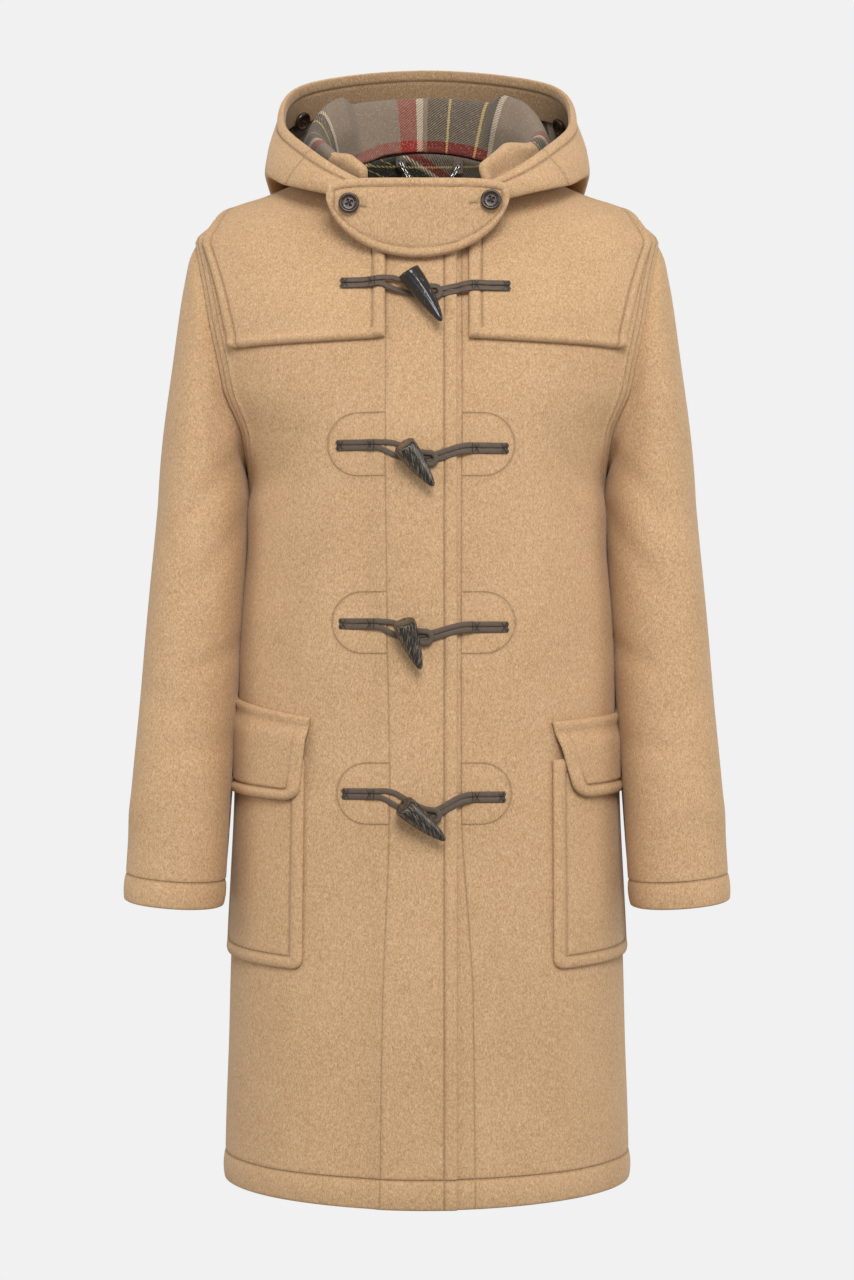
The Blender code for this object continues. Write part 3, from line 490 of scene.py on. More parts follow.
def front_angle(x, level):
    """The angle at which the front's ring has this x, found by repeating x over its reach."""
    half, _, _, power, _, _ = body_ring(level)
    c = np.clip(x / half, -0.999, 0.999)
    for _ in range(12):
        s = np.sqrt(1 - c * c)
        c = np.clip(x / half * (np.abs(c) ** power + s**power) ** (1 / power), -0.999, 0.999)
    return -np.arccos(c)


def on_front(x, z, out):
    """The point at x and z on the front, moved out along the body's normal."""
    x, z, out = np.broadcast_arrays(np.asarray(x, float), z, out)
    level = z.copy()
    for _ in range(30):
        angle = front_angle(x, level)
        level = np.clip(z + body_ring(level)[4] * np.sin(angle) ** 2, HEM_LEVEL, NECK_LEVEL)
    return body(angle, level) + out[..., None] * body_normal(angle, level)


def side_fullness(angle, level):
    """How much fuller the body stands at its sides: bell curves over the height, fading by a
    smooth step towards the front and the back."""
    beside = np.minimum(np.abs(angle), np.abs(math.pi - angle))
    fuller = sum(out * bell(level - at, wide) for at, wide, out in SIDE_BELLS)
    return fuller * (1 - ease(beside, *SIDE_BELL_SPREAD))


def seam_angle(level):
    """The angle from the side to where the front ends: on an ellipse at the armhole, and behind
    the side at the side seam below it. The back mirrors it at the armhole only."""
    share = np.clip((level - ARMHOLE_LEVEL) / ARMHOLE_HALF_HEIGHT, -1, 1)
    armhole = -ARMHOLE_SPREAD * np.sqrt(1 - share * share)
    below = SIDE_SEAM_DRIFT * ease(-level, -ARMHOLE_BOTTOM, -SIDE_SEAM_STRAIGHT_LEVEL)
    return np.where(level < ARMHOLE_BOTTOM, below, armhole)


def armhole_reach(angle, level, spread=ARMHOLE_SPREAD, tall=ARMHOLE_HALF_HEIGHT):
    """How far a point lies outside an ellipse round the armhole's middle, by default its edge:
    the ellipse's equation, in metres."""
    wide = spread * SIDE_RADIUS
    across, along = angle * SIDE_RADIUS / wide, (level - ARMHOLE_LEVEL) / tall
    return (np.hypot(across, along) - 1) * (wide + tall) / 2


# -------- raised form in the cloth
def roll(edge, stitch, height):
    """A rolled edge: a parabola from the edge to its stitch line, and a narrow groove there."""
    share = np.clip(edge / stitch, 0, 1)
    return height * 4 * share * (1 - share) - groove(edge - stitch)


def groove(distance, depth=0.0007, width=0.0013):
    """A bell curve's depth at a distance from the middle of a sewn line."""
    return depth * bell(distance, width)


def creases(across, along, rows):
    """The sum of soft creases. Each falls off as a bell curve beside its line, and as a smooth
    step towards its ends."""
    total = np.zeros(np.broadcast(across, along).shape)
    for from_x, from_z, to_x, to_z, width, depth in rows:
        dx, dz = to_x - from_x, to_z - from_z
        length = math.hypot(dx, dz)
        share = ((across - from_x) * dx + (along - from_z) * dz) / length**2
        beside = ((across - from_x) * dz - (along - from_z) * dx) / length
        ends = ease(share, -0.25, 0.35) * (1 - ease(share, 0.65, 1.25))
        total += depth * bell(beside, width) * ends
    return total


def swell(across, along, height):
    """Uneven, slow waves over the cloth: a product and a sum of sines of unlike lengths."""
    first = np.sin(across * 31 + 0.8) * np.sin(along * 23 + 1.7)
    second = 0.6 * np.sin(across * 17 - along * 41 + 0.4) + 0.4 * np.sin(across * 57 + along * 13)
    return height * (first + second) / 2


# -------- cloth
class Cut:
    """A piece of cloth on a grid of points. For each point it holds the outward direction, how far
    in from the free edge it lies, how far its face is raised, its distances to the sewn lines
    that cross it, and its place on the flat cloth."""

    def __init__(self, points, normals, edge, raised, sewing, flat):
        shape = points.shape[:2]
        self.points = points
        self.normals = normals
        self.edge = np.broadcast_to(edge, shape)
        self.raised = np.broadcast_to(raised, shape)
        self.sewing = np.stack([np.broadcast_to(line, shape) for line in sewing], axis=-1)
        self.flat = np.stack([np.broadcast_to(way, shape) for way in flat], axis=-1)

    def parts(self):
        """Its six arrays, each with the grid's rows and columns."""
        return (self.points, self.normals, self.edge, self.raised, self.sewing, self.flat)

    @classmethod
    def of(cls, parts):
        """A piece from six such arrays."""
        made = cls.__new__(cls)
        made.points, made.normals, made.edge, made.raised, made.sewing, made.flat = parts
        return made

    def turned_over(self):
        """The same piece with its columns the other way, for a face that looks inwards."""
        return Cut.of(part[:, ::-1] for part in self.parts())

    def mirrored(self):
        """The same piece on the coat's other side. Its columns run the other way."""
        flip = np.array([-1, 1, 1])
        points, normals, *rest = self.turned_over().parts()
        return Cut.of((points * flip, normals * flip, *rest))

    def beside(self, other):
        """This piece and another in one grid, side by side."""
        return Cut.of(np.concatenate(p, axis=1) for p in zip(self.parts(), other.parts()))


def grid_quads(rows, columns):
    """The four-cornered faces of a grid, as an array of point numbers."""
    low = np.arange(rows * columns).reshape(rows, columns)
    corners = [low[:-1, :-1], low[:-1, 1:], low[1:, 1:], low[1:, :-1]]
    return np.stack([corner.ravel() for corner in corners], axis=1)


def merged(points):
    """The points with those in one place made one, and each old point's new number."""
    keys = np.round(points * 1e6).astype(np.int64)
    _, first, number = np.unique(keys, axis=0, return_index=True, return_inverse=True)
    return first, number.ravel()


def write_mesh(name, points, quads, places, finish_of=None, attributes=None):
    """A mesh from points and four-cornered faces, in which doubled corners are dropped. places is
    each corner's place on the flat cloth."""
    same = quads == np.roll(quads, -1, axis=1)
    folded = (quads[:, 0] == quads[:, 2]) | (quads[:, 1] == quads[:, 3])
    whole = ~same.any(axis=1) & ~folded
    three = (same.sum(axis=1) == 1) & ~folded
    keep = ~same[three]
    triangles = quads[three][keep].reshape(-1, 3)
    triangle_places = places[three][keep].reshape(-1, 3, 2)
    mesh = bpy.data.meshes.new(name)
    mesh.from_pydata(points.tolist(), [], quads[whole].tolist() + triangles.tolist())
    layer = mesh.uv_layers.new(name="cloth")
    spread = np.concatenate([places[whole].reshape(-1, 2), triangle_places.reshape(-1, 2)])
    layer.uv.foreach_set("vector", spread.astype(np.float32).ravel())
    if finish_of is not None:
        slots = np.concatenate([finish_of[whole], finish_of[three]]).astype(np.int32)
        mesh.polygons.foreach_set("material_index", slots)
    for label, values in (attributes or {}).items():
        made = mesh.attributes.new(label, "FLOAT_VECTOR", "POINT")
        made.data.foreach_set("vector", values.astype(np.float32).ravel())
    mesh.shade_smooth()
    mesh.update()
    return mesh


def show(mesh, finishes, node):
    """Puts a finished piece in the scene, on the coat's body, in place of its plain solid."""
    obj = bpy.data.objects.new(mesh.name, mesh)
    bpy.context.scene.collection.objects.link(obj)
    for material in finishes:
        mesh.materials.append(material)
    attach(obj, BODY)
    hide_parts(node)
    return obj


def wall(node, cut, finishes, keep=None, thickness=CLOTH, camel=None):
    """Cloth between an outer face, raised off the cut's points, and an inner face that follows it
    into deep creases. Within half its thickness of a free edge both turn in on a quarter of a
    circle and meet, and the camel goes round that edge. camel marks the points where the inner
    face is camel too."""
    rows, columns = cut.points.shape[:2]
    quads = grid_quads(rows, columns)
    kept = np.ones(len(quads), bool) if keep is None else keep.ravel()
    quads = quads[kept]
    sunk = np.minimum(cut.raised + 0.001, 0)
    half = (thickness + cut.raised - sunk) / 2
    share = np.clip(cut.edge / np.maximum(half, 1e-6), 0, 1)
    turned = half * (1 - np.sqrt(np.clip(1 - (1 - share) ** 2, 0, 1)))
    outer = cut.points + (cut.raised - turned)[..., None] * cut.normals
    inner = cut.points + (turned - thickness + sunk)[..., None] * cut.normals
    first, number = merged(outer.reshape(-1, 3))
    quads_out = number[quads]
    count = len(first)
    pairs = np.stack([quads_out, np.roll(quads_out, -1, axis=1)], axis=-1).reshape(-1, 2)
    corners = np.stack([quads, np.roll(quads, -1, axis=1)], axis=-1).reshape(-1, 2)
    real = pairs[:, 0] != pairs[:, 1]
    pairs, corners = pairs[real], corners[real]
    open_edge = ~np.isin(pairs[:, 0] * count + pairs[:, 1], pairs[:, 1] * count + pairs[:, 0])
    a, b = pairs[open_edge].T
    rim = np.stack([b, a, a + count, b + count], axis=1)
    flat = cut.flat.reshape(-1, 2)
    at_a, at_b = flat[corners[open_edge, 0]], flat[corners[open_edge, 1]]
    faces = np.concatenate([quads_out, rim, quads_out[:, ::-1] + count])
    rim_places = np.stack([at_b, at_a, at_a, at_b], axis=1)
    places = np.concatenate([flat[quads], rim_places, flat[quads[:, ::-1]]])
    checked = cut.edge.ravel()[quads].mean(axis=1) > CAMEL_EDGE
    if camel is not None:
        checked &= ~camel[:-1, :-1].ravel()[kept]
    seam = cut.edge.ravel()[corners[open_edge]].mean(axis=1) > CAMEL_EDGE
    slots = np.concatenate([np.zeros(len(quads)), seam, checked])
    points = np.concatenate([outer.reshape(-1, 3)[first], inner.reshape(-1, 3)[first]])
    sewing = np.tile(cut.sewing.reshape(-1, 3)[first], (2, 1))
    first, number = merged(points)
    used, compact = np.unique(number[faces], return_inverse=True)
    carried = {"sewing": sewing[first][used]}
    corners = compact.reshape(faces.shape)
    spots = points[first][used]
    mesh = write_mesh(f"{node}_wool", spots, corners, places, slots, carried)
    return show(mesh, finishes, node)


def cut_size(cut, keep=None):
    """The cloth's flat width and length, its longest column and row, and its area, as the sum of
    half the cross products of each face's diagonals."""
    points = cut.points
    across = np.cross(points[1:, 1:] - points[:-1, :-1], points[1:, :-1] - points[:-1, 1:])
    area = np.linalg.norm(across, axis=-1) / 2
    if keep is not None:
        area = area * keep
    return lengths(points, 1)[:, -1].max(), lengths(points, 0)[-1].max(), area.sum()


def declare(cut, keep=None):
    """Works out the size that a piece of cloth was cut to, and does nothing more with it."""
    width, length, area = cut_size(cut, keep)


# -------- the fronts and the back
def body_levels():
    """Rows from the hem to the neck: close at the hem's edge and stitch, and in the armhole's
    height spaced as the cosine of even turns, so that its ends are round."""
    below = spaced(HEM_LEVEL, ARMHOLE_BOTTOM, 0.0058, (HEM_LEVEL, HEM_LEVEL + HEM_STITCH))
    armhole = ARMHOLE_LEVEL - ARMHOLE_HALF_HEIGHT * np.cos(np.linspace(0, math.pi, 59))
    above = spaced(ARMHOLE_TOP, NECK_LEVEL, 0.004)
    return np.concatenate([below[:-1], armhole, above[1:]])


def armhole_lap(reach, level):
    """The lap beside an armhole: how far the cloth is raised there, and each point's distance to
    the middle of its two sewn lines. reach is how far a point lies from the armhole's edge."""
    beside = level > ARMHOLE_BOTTOM - LAP_BELOW
    lift = LAP_HEIGHT * (1 - ease(np.maximum(reach, 0), *LAP_FADE))
    middle = sum(LAP_STITCHES) / 2
    return np.where(beside, lift, 0), np.where(beside, reach - middle, UNSEWN)


def line_x(line, level):
    """How far out a line that runs down a front lies at each level."""
    levels, xs = np.array(line).T
    return smooth(level, levels, xs)


def between_lines(places, marks, lines):
    """Columns between lines that wander from row to row: at each mark a column is on its line, and
    the others keep their share of the way between two lines."""
    i = np.clip(np.searchsorted(marks, places, side="right") - 1, 0, len(marks) - 2)
    t = (places - marks[i]) / (marks[i + 1] - marks[i])
    return lines[:, i] * (1 - t) + lines[:, i + 1] * t


def front_cut(edge_x, facing_line, over):
    """A front on the left half, from its edge past the middle to the side seam and the armhole.
    The upper front is raised over the under one. Its armhole edge is raised as a lap."""
    levels = body_levels()
    level = levels[:, None]
    facing = line_x(facing_line, levels)
    lines = [np.full(len(levels), -edge_x), np.full(len(levels), EDGE_STITCH - edge_x), facing]
    lines = np.stack([*lines, np.full(len(levels), PLAIN_FROM_X)], axis=1)
    marks = np.array([0, EDGE_STITCH, facing.mean() + edge_x, PLAIN_FROM_X + edge_x])
    places = spaced(0, marks[-1], 0.0026, marks[:3])
    x = between_lines(places, marks, lines)
    near = front_angle(*np.broadcast_arrays(x, level))
    end = seam_angle(level) - GAP / 2 / SIDE_RADIUS
    lap = spaced(0, LAP_WIDTH, 0.0022, (0.0,))[::-1] / SIDE_RADIUS
    start, stop = near[:, -1:], end - lap[0]
    share = np.linspace(0, 1, 36)[None, 1:-1]
    angle = np.concatenate([near, start + (stop - start) * share, end - lap], axis=1)
    level = np.broadcast_to(level, angle.shape)
    points, normals = body(angle, level), body_normal(angle, level)
    x, z = points[..., 0], points[..., 2]
    reach = armhole_reach(angle, level)
    across = x + edge_x
    raised = roll(across, EDGE_STITCH, EDGE_ROLL) + roll(level - HEM_LEVEL, HEM_STITCH, HEM_ROLL)
    raised = raised + creases(x, z, FRONT_CREASES)
    raised = raised + swell(x, z, FRONT_SWELL) * ease(across, 0, 0.03)
    if over:
        lifted = LAP * ease(-x, -LIFT_NONE_X, -YOKE_EDGE_X)
        points = points + lifted[..., None] * normals
    stitch_x = EDGE_STITCH - edge_x
    sewn = np.minimum(np.abs(x - stitch_x) + 0.0003, np.abs(x - facing[:, None]) + 0.0005)
    sewn = np.minimum(sewn, np.abs(level - HEM_LEVEL - HEM_STITCH))
    raised = raised - groove(x - facing[:, None], 0.0003)
    raised = raised + side_fullness(angle, level)
    patch = np.full(angle.shape, UNSEWN)
    for middle, half, right, left in PATCHES:
        outer = right if over else left
        round_x = outer - half
        ring = np.hypot(np.maximum(x - round_x, 0), z - middle) - half
        patch = np.where(np.abs(ring) < np.abs(patch), ring, patch)
        raised = raised + 0.0005 * ease(-ring, 0, 0.004) * (x > facing[:, None])
    patch = np.where(x < facing[:, None] - 1e-5, UNSEWN, patch)
    lift, laps = armhole_lap(reach, level)
    edge = np.minimum(np.minimum(across, level - HEM_LEVEL), np.maximum(reach, 0))
    flat = (lengths(points, 1), z)
    sewing = (sewn, patch, laps)
    return Cut(points, normals, np.maximum(edge, 0), raised + lift, sewing, flat)


def back_cut():
    """The back, from one side seam and armhole round to the other."""
    levels = body_levels()
    level = levels[:, None]
    armhole = level >= ARMHOLE_BOTTOM
    seam = np.where(armhole, -seam_angle(level), seam_angle(level)) + GAP / 2 / SIDE_RADIUS
    lap = spaced(0, LAP_WIDTH, 0.0026, (0.0,))[None, :] / SIDE_RADIUS
    start, stop = seam + lap[0, -1], math.pi - seam - lap[0, -1]
    between = start + (stop - start) * np.linspace(0, 1, 74)[None, 1:-1]
    angle = np.concatenate([seam + lap, between, math.pi - seam - lap[:, ::-1]], axis=1)
    level = np.broadcast_to(level, angle.shape)
    points, normals = body(angle, level), body_normal(angle, level)
    reach = np.minimum(armhole_reach(angle, level), armhole_reach(math.pi - angle, level))
    x, z = points[..., 0], points[..., 2]
    raised = roll(level - HEM_LEVEL, HEM_STITCH, HEM_ROLL)
    raised = raised + swell(x + 0.3, z, BACK_SWELL) + side_fullness(angle, level)
    lift, laps = armhole_lap(reach, level)
    edge = np.clip(np.minimum(level - HEM_LEVEL, reach), 0, None)
    sewn = np.abs(level - HEM_LEVEL - HEM_STITCH)
    flat = (lengths(points, 1), z)
    return Cut(points, normals, edge, raised + lift, (sewn, UNSEWN, laps), flat)


# -------- shoulder yoke
YOKE_SPREAD = ARMHOLE_SPREAD + YOKE_SIDE_MARGIN / SIDE_RADIUS
YOKE_TIP = ARMHOLE_TOP + YOKE_TOP_MARGIN  # where its two side edges meet


def yoke_side_angle(level):
    """The angle of the yoke's outer edge: the armhole's ellipse, grown by its margins."""
    share = np.clip((level - ARMHOLE_LEVEL) / (YOKE_TIP - ARMHOLE_LEVEL), -1, 1)
    return -YOKE_SPREAD * np.sqrt(1 - share * share)


def yoke_levels(lowest):
    """Rows from each column's lowest level up to the armhole's top, then on to the neck."""
    share = spaced(0, 0.12, 0.0028, (0.0,)) / 0.12
    share = 1 - np.cos(share * math.pi / 2) ** 1.15
    below = lowest[None, :] + (YOKE_TIP - lowest[None, :]) * share[:, None]
    above = np.linspace(YOKE_TIP, YOKE_TOP_LEVEL, 17)[1:, None]
    return np.concatenate([below, np.broadcast_to(above, (len(above), len(lowest)))])


def yoke_block(angle_of, columns, lowest, lift):
    """One of the yoke's three blocks. angle_of gives each column's angle at its levels."""
    level = yoke_levels(np.broadcast_to(lowest, columns).astype(float))
    angle = angle_of(level)
    points, normals = body(angle, level), body_normal(angle, level)
    out = YOKE_OUT + lift * LAP * ease(-points[..., 0] * lift, -LIFT_NONE_X, -YOKE_EDGE_X)
    return points, normals, angle, level, out


def yoke_cut():
    """The yoke in one grid: the left front, the back and the right front. Above the armholes the
    blocks' columns meet at the side and are merged; below, the cells between them are left out."""
    near = spaced(0, 0.030, 0.0026, (0.0, YOKE_STITCH))
    far = spaced(0, 0.022, 0.0024, (0.0, YOKE_STITCH))[::-1] / SIDE_RADIUS
    middle = np.linspace(0, 1, 30)[1:-1]
    last_share = 0.88 + 0.12 * np.linspace(0, 1, len(far))
    share = np.concatenate([near / 0.17, 0.18 + 0.68 * middle, last_share])
    lowest = YOKE_FRONT_LEVEL + (YOKE_SIDE_LEVEL - YOKE_FRONT_LEVEL) * share

    def front_angle_of(level):
        first = front_angle(YOKE_EDGE_X + near[None, :], level[:, : len(near)])
        end = yoke_side_angle(level[:, -len(far) :])
        wide = end[:, -1:] - first[:, -1:]
        pull = np.minimum(1, 0.45 * wide / far[0])
        last = end - far * pull
        between = first[:, -1:] + (last[:, :1] - first[:, -1:]) * middle[None, :]
        return np.concatenate([first, between, last], axis=1)

    def back_angle_of(level):
        start = -yoke_side_angle(level[:, :1])
        reach = far[::-1][None, :]
        between = np.linspace(0, 1, 62)[None, 1:-1]
        low, high = start + far[0], math.pi - start - far[0]
        return np.concatenate(
            [start + reach, low + (high - low) * between, math.pi - start - reach[:, ::-1]], axis=1
        )

    back_columns = 2 * len(far) + 60
    front = yoke_block(front_angle_of, len(share), lowest, 0)
    raised_front = yoke_block(front_angle_of, len(share), lowest, 1)
    back = yoke_block(back_angle_of, back_columns, YOKE_BACK_LEVEL, 0)

    def finish_block(block, front_edge):
        points, normals, angle, level, out = block
        side = np.minimum(np.abs(angle), np.abs(math.pi - angle))
        reach = armhole_reach(side, level, YOKE_SPREAD, YOKE_TIP - ARMHOLE_LEVEL)
        foot = level - level[:1]
        edge = np.minimum(np.maximum(reach, 0), foot)
        raised = 0.0008 + roll(np.maximum(reach, 0), YOKE_STITCH, YOKE_ROLLS[0])
        out_by, height, width = YOKE_FOOT
        raised = raised + out_by * bell(foot - height, width)
        if front_edge:
            front_in = np.abs(points[..., 0]) - YOKE_EDGE_X
            edge = np.minimum(edge, front_in)
            raised = raised + roll(front_in, YOKE_STITCH, YOKE_ROLLS[1])
            below = np.where(foot < YOKE_STITCH - 0.001, UNSEWN, 0)
            sewn = np.abs(front_in - YOKE_STITCH) + below
        else:
            sewn = UNSEWN
        face = points + out[..., None] * normals
        flat = (lengths(face, 1), points[..., 2])
        sewing = (sewn, reach - YOKE_STITCH, UNSEWN)
        return Cut(face, normals, np.maximum(edge, 0), raised, sewing, flat)

    left = finish_block(front, True)
    right = finish_block(raised_front, True).mirrored()
    whole = left.beside(finish_block(back, False)).beside(right)
    rows, columns = whole.points.shape[:2]
    keep = np.ones((rows - 1, columns - 1), bool)
    for joint in (len(share) - 1, len(share) + back_columns - 1):
        keep[:, joint] = False
    return whole, keep


# -------- sleeves
def sleeve_ring(turn, level, x, y, half_width, half_depth):
    """A ring of the left sleeve: a rounded square on which cosine and sine to a power add up to
    one. turn is 0 on the outer side, 90 degrees at the front."""
    c, s = np.cos(turn), np.sin(turn)
    reach = rounded(c, s, SLEEVE_POWER)
    fall = (CUFF_FALL * s - CUFF_RISE * c) * ease(-level, 0.58, 0.668)
    across, along = x + reach * half_width * c, y - reach * half_depth * s
    return np.stack([across, along, level - fall], axis=-1)


def sleeve_cut():
    """The left sleeve. A cubic leads out of the armhole's edge and turns down into the first ring,
    and the rings' sizes are read between their table's rows down to the cuff."""
    turn = np.linspace(-math.pi, math.pi, 101)[None, :]
    upper = (1 + np.cos(turn)) / 2
    angle = -(ARMHOLE_SPREAD - SLEEVE_INSET / SIDE_RADIUS) * np.sin(turn)
    level = ARMHOLE_LEVEL + (ARMHOLE_HALF_HEIGHT - SLEEVE_INSET) * np.cos(turn)
    seam = body(angle, level)
    sizes = np.array(SLEEVE_RINGS).T
    end = sleeve_ring(turn, *(size[0] for size in sizes))
    away = (1 - 0.45 * upper**3, -0.35 * np.sin(turn), -0.05 - 0.85 * upper)
    away = unit(np.stack(away, axis=-1))
    leave = (0.030 + 0.075 * upper)[..., None] * away
    arrive = (0.045 + 0.130 * upper)[..., None] * np.array([0.05, -0.12, -0.99])
    t = np.linspace(-0.06, 1, 42)[:-1, None, None]
    cap = seam * (1 + 2 * t) * (1 - t) ** 2 + leave * t * (1 - t) ** 2
    cap = cap + end * t * t * (3 - 2 * t) - arrive * t * t * (1 - t)
    cuff, top = sizes[0][-1], sizes[0][0]
    levels = spaced(cuff, top, 0.0055, (cuff, cuff + CUFF_STITCH))[::-1, None]
    below = [levels] + [smooth(-levels, -sizes[0], size) for size in sizes[1:]]
    points = np.concatenate([cap, sleeve_ring(turn, *below)])
    turned = np.concatenate([points[:, -2:-1], points, points[:, 1:2]], axis=1)
    around = (turned[:, 2:] - turned[:, :-2]) / 2
    normals = unit(np.cross(around, np.gradient(points, axis=0)))
    down, up = runs(points)
    along = points[..., 2]
    width = lengths(points, 1)
    rows = [
        (math.radians(a) * SLEEVE_RADIUS, b, math.radians(c) * SLEEVE_RADIUS, d, *rest)
        for a, b, c, d, *rest in SLEEVE_CREASES
    ]
    raised = creases(np.radians(np.degrees(turn) % 360) * SLEEVE_RADIUS, along, rows)
    raised = raised + swell(width, along, SLEEVE_SWELL) + roll(up, CUFF_STITCH, CUFF_ROLL)
    raised = raised + 0.0010 * bell(down - 0.02, 0.012)
    sewing = (np.abs(up - CUFF_STITCH), UNSEWN, UNSEWN)
    return Cut(points, normals, up, raised, sewing, (width, along))


# -------- pockets
def round_corner(across, along, radius):
    """Moves the places near a corner so that the square's edge becomes a quarter of a circle:
    each way is shortened by the root of one less half the other's square. Also how far in from
    the edge each place lies."""
    u, v = np.clip(1 - across / radius, 0, 1), np.clip(1 - along / radius, 0, 1)
    near = (u > 0) & (v > 0)
    u2, v2 = u * np.sqrt(1 - v * v / 2), v * np.sqrt(1 - u * u / 2)
    edge = np.minimum(across, along)
    return (
        np.where(near, radius * (1 - u2), across),
        np.where(near, radius * (1 - v2), along),
        np.where(near, radius * (1 - np.hypot(u2, v2)), edge),
    )


def pocket_cut(top, bottom, top_x, bottom_x, slopes, corner, thickness, over):
    """A pocket or its flap on the left half. Its columns start at a slanted front edge and end
    behind the side, and its rows slope down to the front. over is a function of the height above
    its lower edge that adds to how far it stands out."""
    height = top - bottom
    up = spaced(0, height, 0.0042, (0.0, POCKET_STITCH, height))[:, None]
    near = spaced(0, 0.030, 0.0026, (0.0, POCKET_STITCH))[None, :]
    up, near = np.broadcast_arrays(up, near)
    near, near_up, near_edge = round_corner(near, up, corner)
    share = np.linspace(0, 1, 30)[None, 1:]
    far_up = np.broadcast_to(up[:, :1], (up.shape[0], share.shape[1]))
    full_up = np.concatenate([near_up, far_up], axis=1)
    level = bottom + full_up
    x = bottom_x + (top_x - bottom_x) * full_up[:, : near.shape[1]] / height + near
    slope = slopes[0] + (slopes[1] - slopes[0]) * full_up / height
    back_start = front_angle(np.full(level.shape, LIFT_NONE_X), level)
    back_end = seam_angle(level) - GAP / 2 / SIDE_RADIUS
    back = back_start + (back_end - back_start) * 6 / 7 * POCKET_BACK_SHARE
    edge_angle = front_angle(x, level[:, : near.shape[1]])
    last = edge_angle[:, -1:]
    angle = np.concatenate([edge_angle, last + (back[:, near.shape[1] :] - last) * share], axis=1)
    gone = (angle - angle[:, :1]) / (back - angle[:, :1])
    level = level - slope * (1 - gone)
    points, normals = body(angle, level), body_normal(angle, level)
    from_back = (back - angle) * SIDE_RADIUS
    edge = np.concatenate([near_edge, far_up], axis=1)
    edge = np.minimum(np.minimum(edge, from_back), height - full_up)
    out = LAYER_GAP + thickness + over(full_up) + side_fullness(angle, level)
    points = points + out[..., None] * normals
    flat = (lengths(points, 1), full_up)
    return points, normals, np.clip(edge, 0, None), full_up, edge, flat


def pocket(side):
    """The patch pocket: rolled inside a stitch line along its front and lower edges."""
    top_x, bottom_x = POCKET_EDGES[side]
    points, normals, edge, up, inner, flat = pocket_cut(
        POCKET_TOP_LEVEL, POCKET_BOTTOM_LEVEL, top_x, bottom_x, POCKET_SLOPES, POCKET_CORNER,
        POCKET_THICKNESS, lambda up: 0 * up,
    )
    raised = roll(edge, POCKET_STITCH, POCKET_ROLL)
    raised = raised + swell(flat[0] + 0.2, up, POCKET_SWELL) * ease(edge, 0, 0.02)
    return Cut(points, normals, edge, raised, (UNSEWN, inner - POCKET_STITCH, UNSEWN), flat)


def flap(side):
    """The flap: a sewn band along its top, and a full roll along its lower edge."""
    top_x, bottom_x = FLAP_EDGES[side]
    height = FLAP_TOPS[side] - FLAP_BOTTOM_LEVEL

    def over(up):
        return (POCKET_THICKNESS + LAYER_GAP + 0.0012) * ease(height - up, 0.008, 0.028)

    points, normals, edge, up, inner, flat = pocket_cut(
        FLAP_TOPS[side], FLAP_BOTTOM_LEVEL, top_x, bottom_x, FLAP_SLOPES[side], FLAP_CORNER,
        FLAP_THICKNESS, over,
    )
    down = height - up
    band = down - FLAP_BAND
    low = 1 - ease(up, 0.012, 0.028)
    raised = roll(np.minimum(edge, up), POCKET_STITCH, FLAP_ROLL) * ease(down, 0.004, 0.016)
    raised = raised * (1 + FLAP_FULLNESS * low)
    raised = raised + roll(down, FLAP_BAND, 0.0019) - groove(band, 0.0007, 0.0022)
    sewn = np.abs(inner - POCKET_STITCH) + 0.0010 * (1 - low)
    sewn = np.where(down > POCKET_STITCH, sewn, UNSEWN)
    return Cut(points, normals, edge, raised, (np.abs(band), sewn, UNSEWN), flat)


# -------- hood
def hood(around, along):
    """Points of the hood's outer face. around is -1 at the right throat, 0 at the back and 1 at
    the left throat; along is 0 at the neck seam and 1 at the rim. Both ways run on Catmull-Rom
    curves through the tables' points."""
    left = np.radians(HOOD_SEAM_ANGLES)
    at = (1 - around) / 2 * (2 * len(left) - 2)
    angle = spline(np.concatenate([left, math.pi - left[:-1][::-1]]), at)
    seam = body(angle, NECK_LEVEL)
    lifted = LAP * ease(seam[..., 0], -LIFT_NONE_X, -YOKE_EDGE_X) * (seam[..., 0] < 0)
    seam = seam + lifted[..., None] * body_normal(angle, NECK_LEVEL)
    lines = [seam + np.array([0, 0, 2 * GAP])]
    for line in (HOOD_RIDGE, HOOD_DROP, HOOD_FOLD, HOOD_SIDE, HOOD_RIM):
        left = np.array(line)
        whole = np.concatenate([left, left[:-1][::-1] * np.array([-1, 1, 1])])
        lines.append(spline(whole, at))
    return spline(np.array(lines), along * (len(lines) - 1))


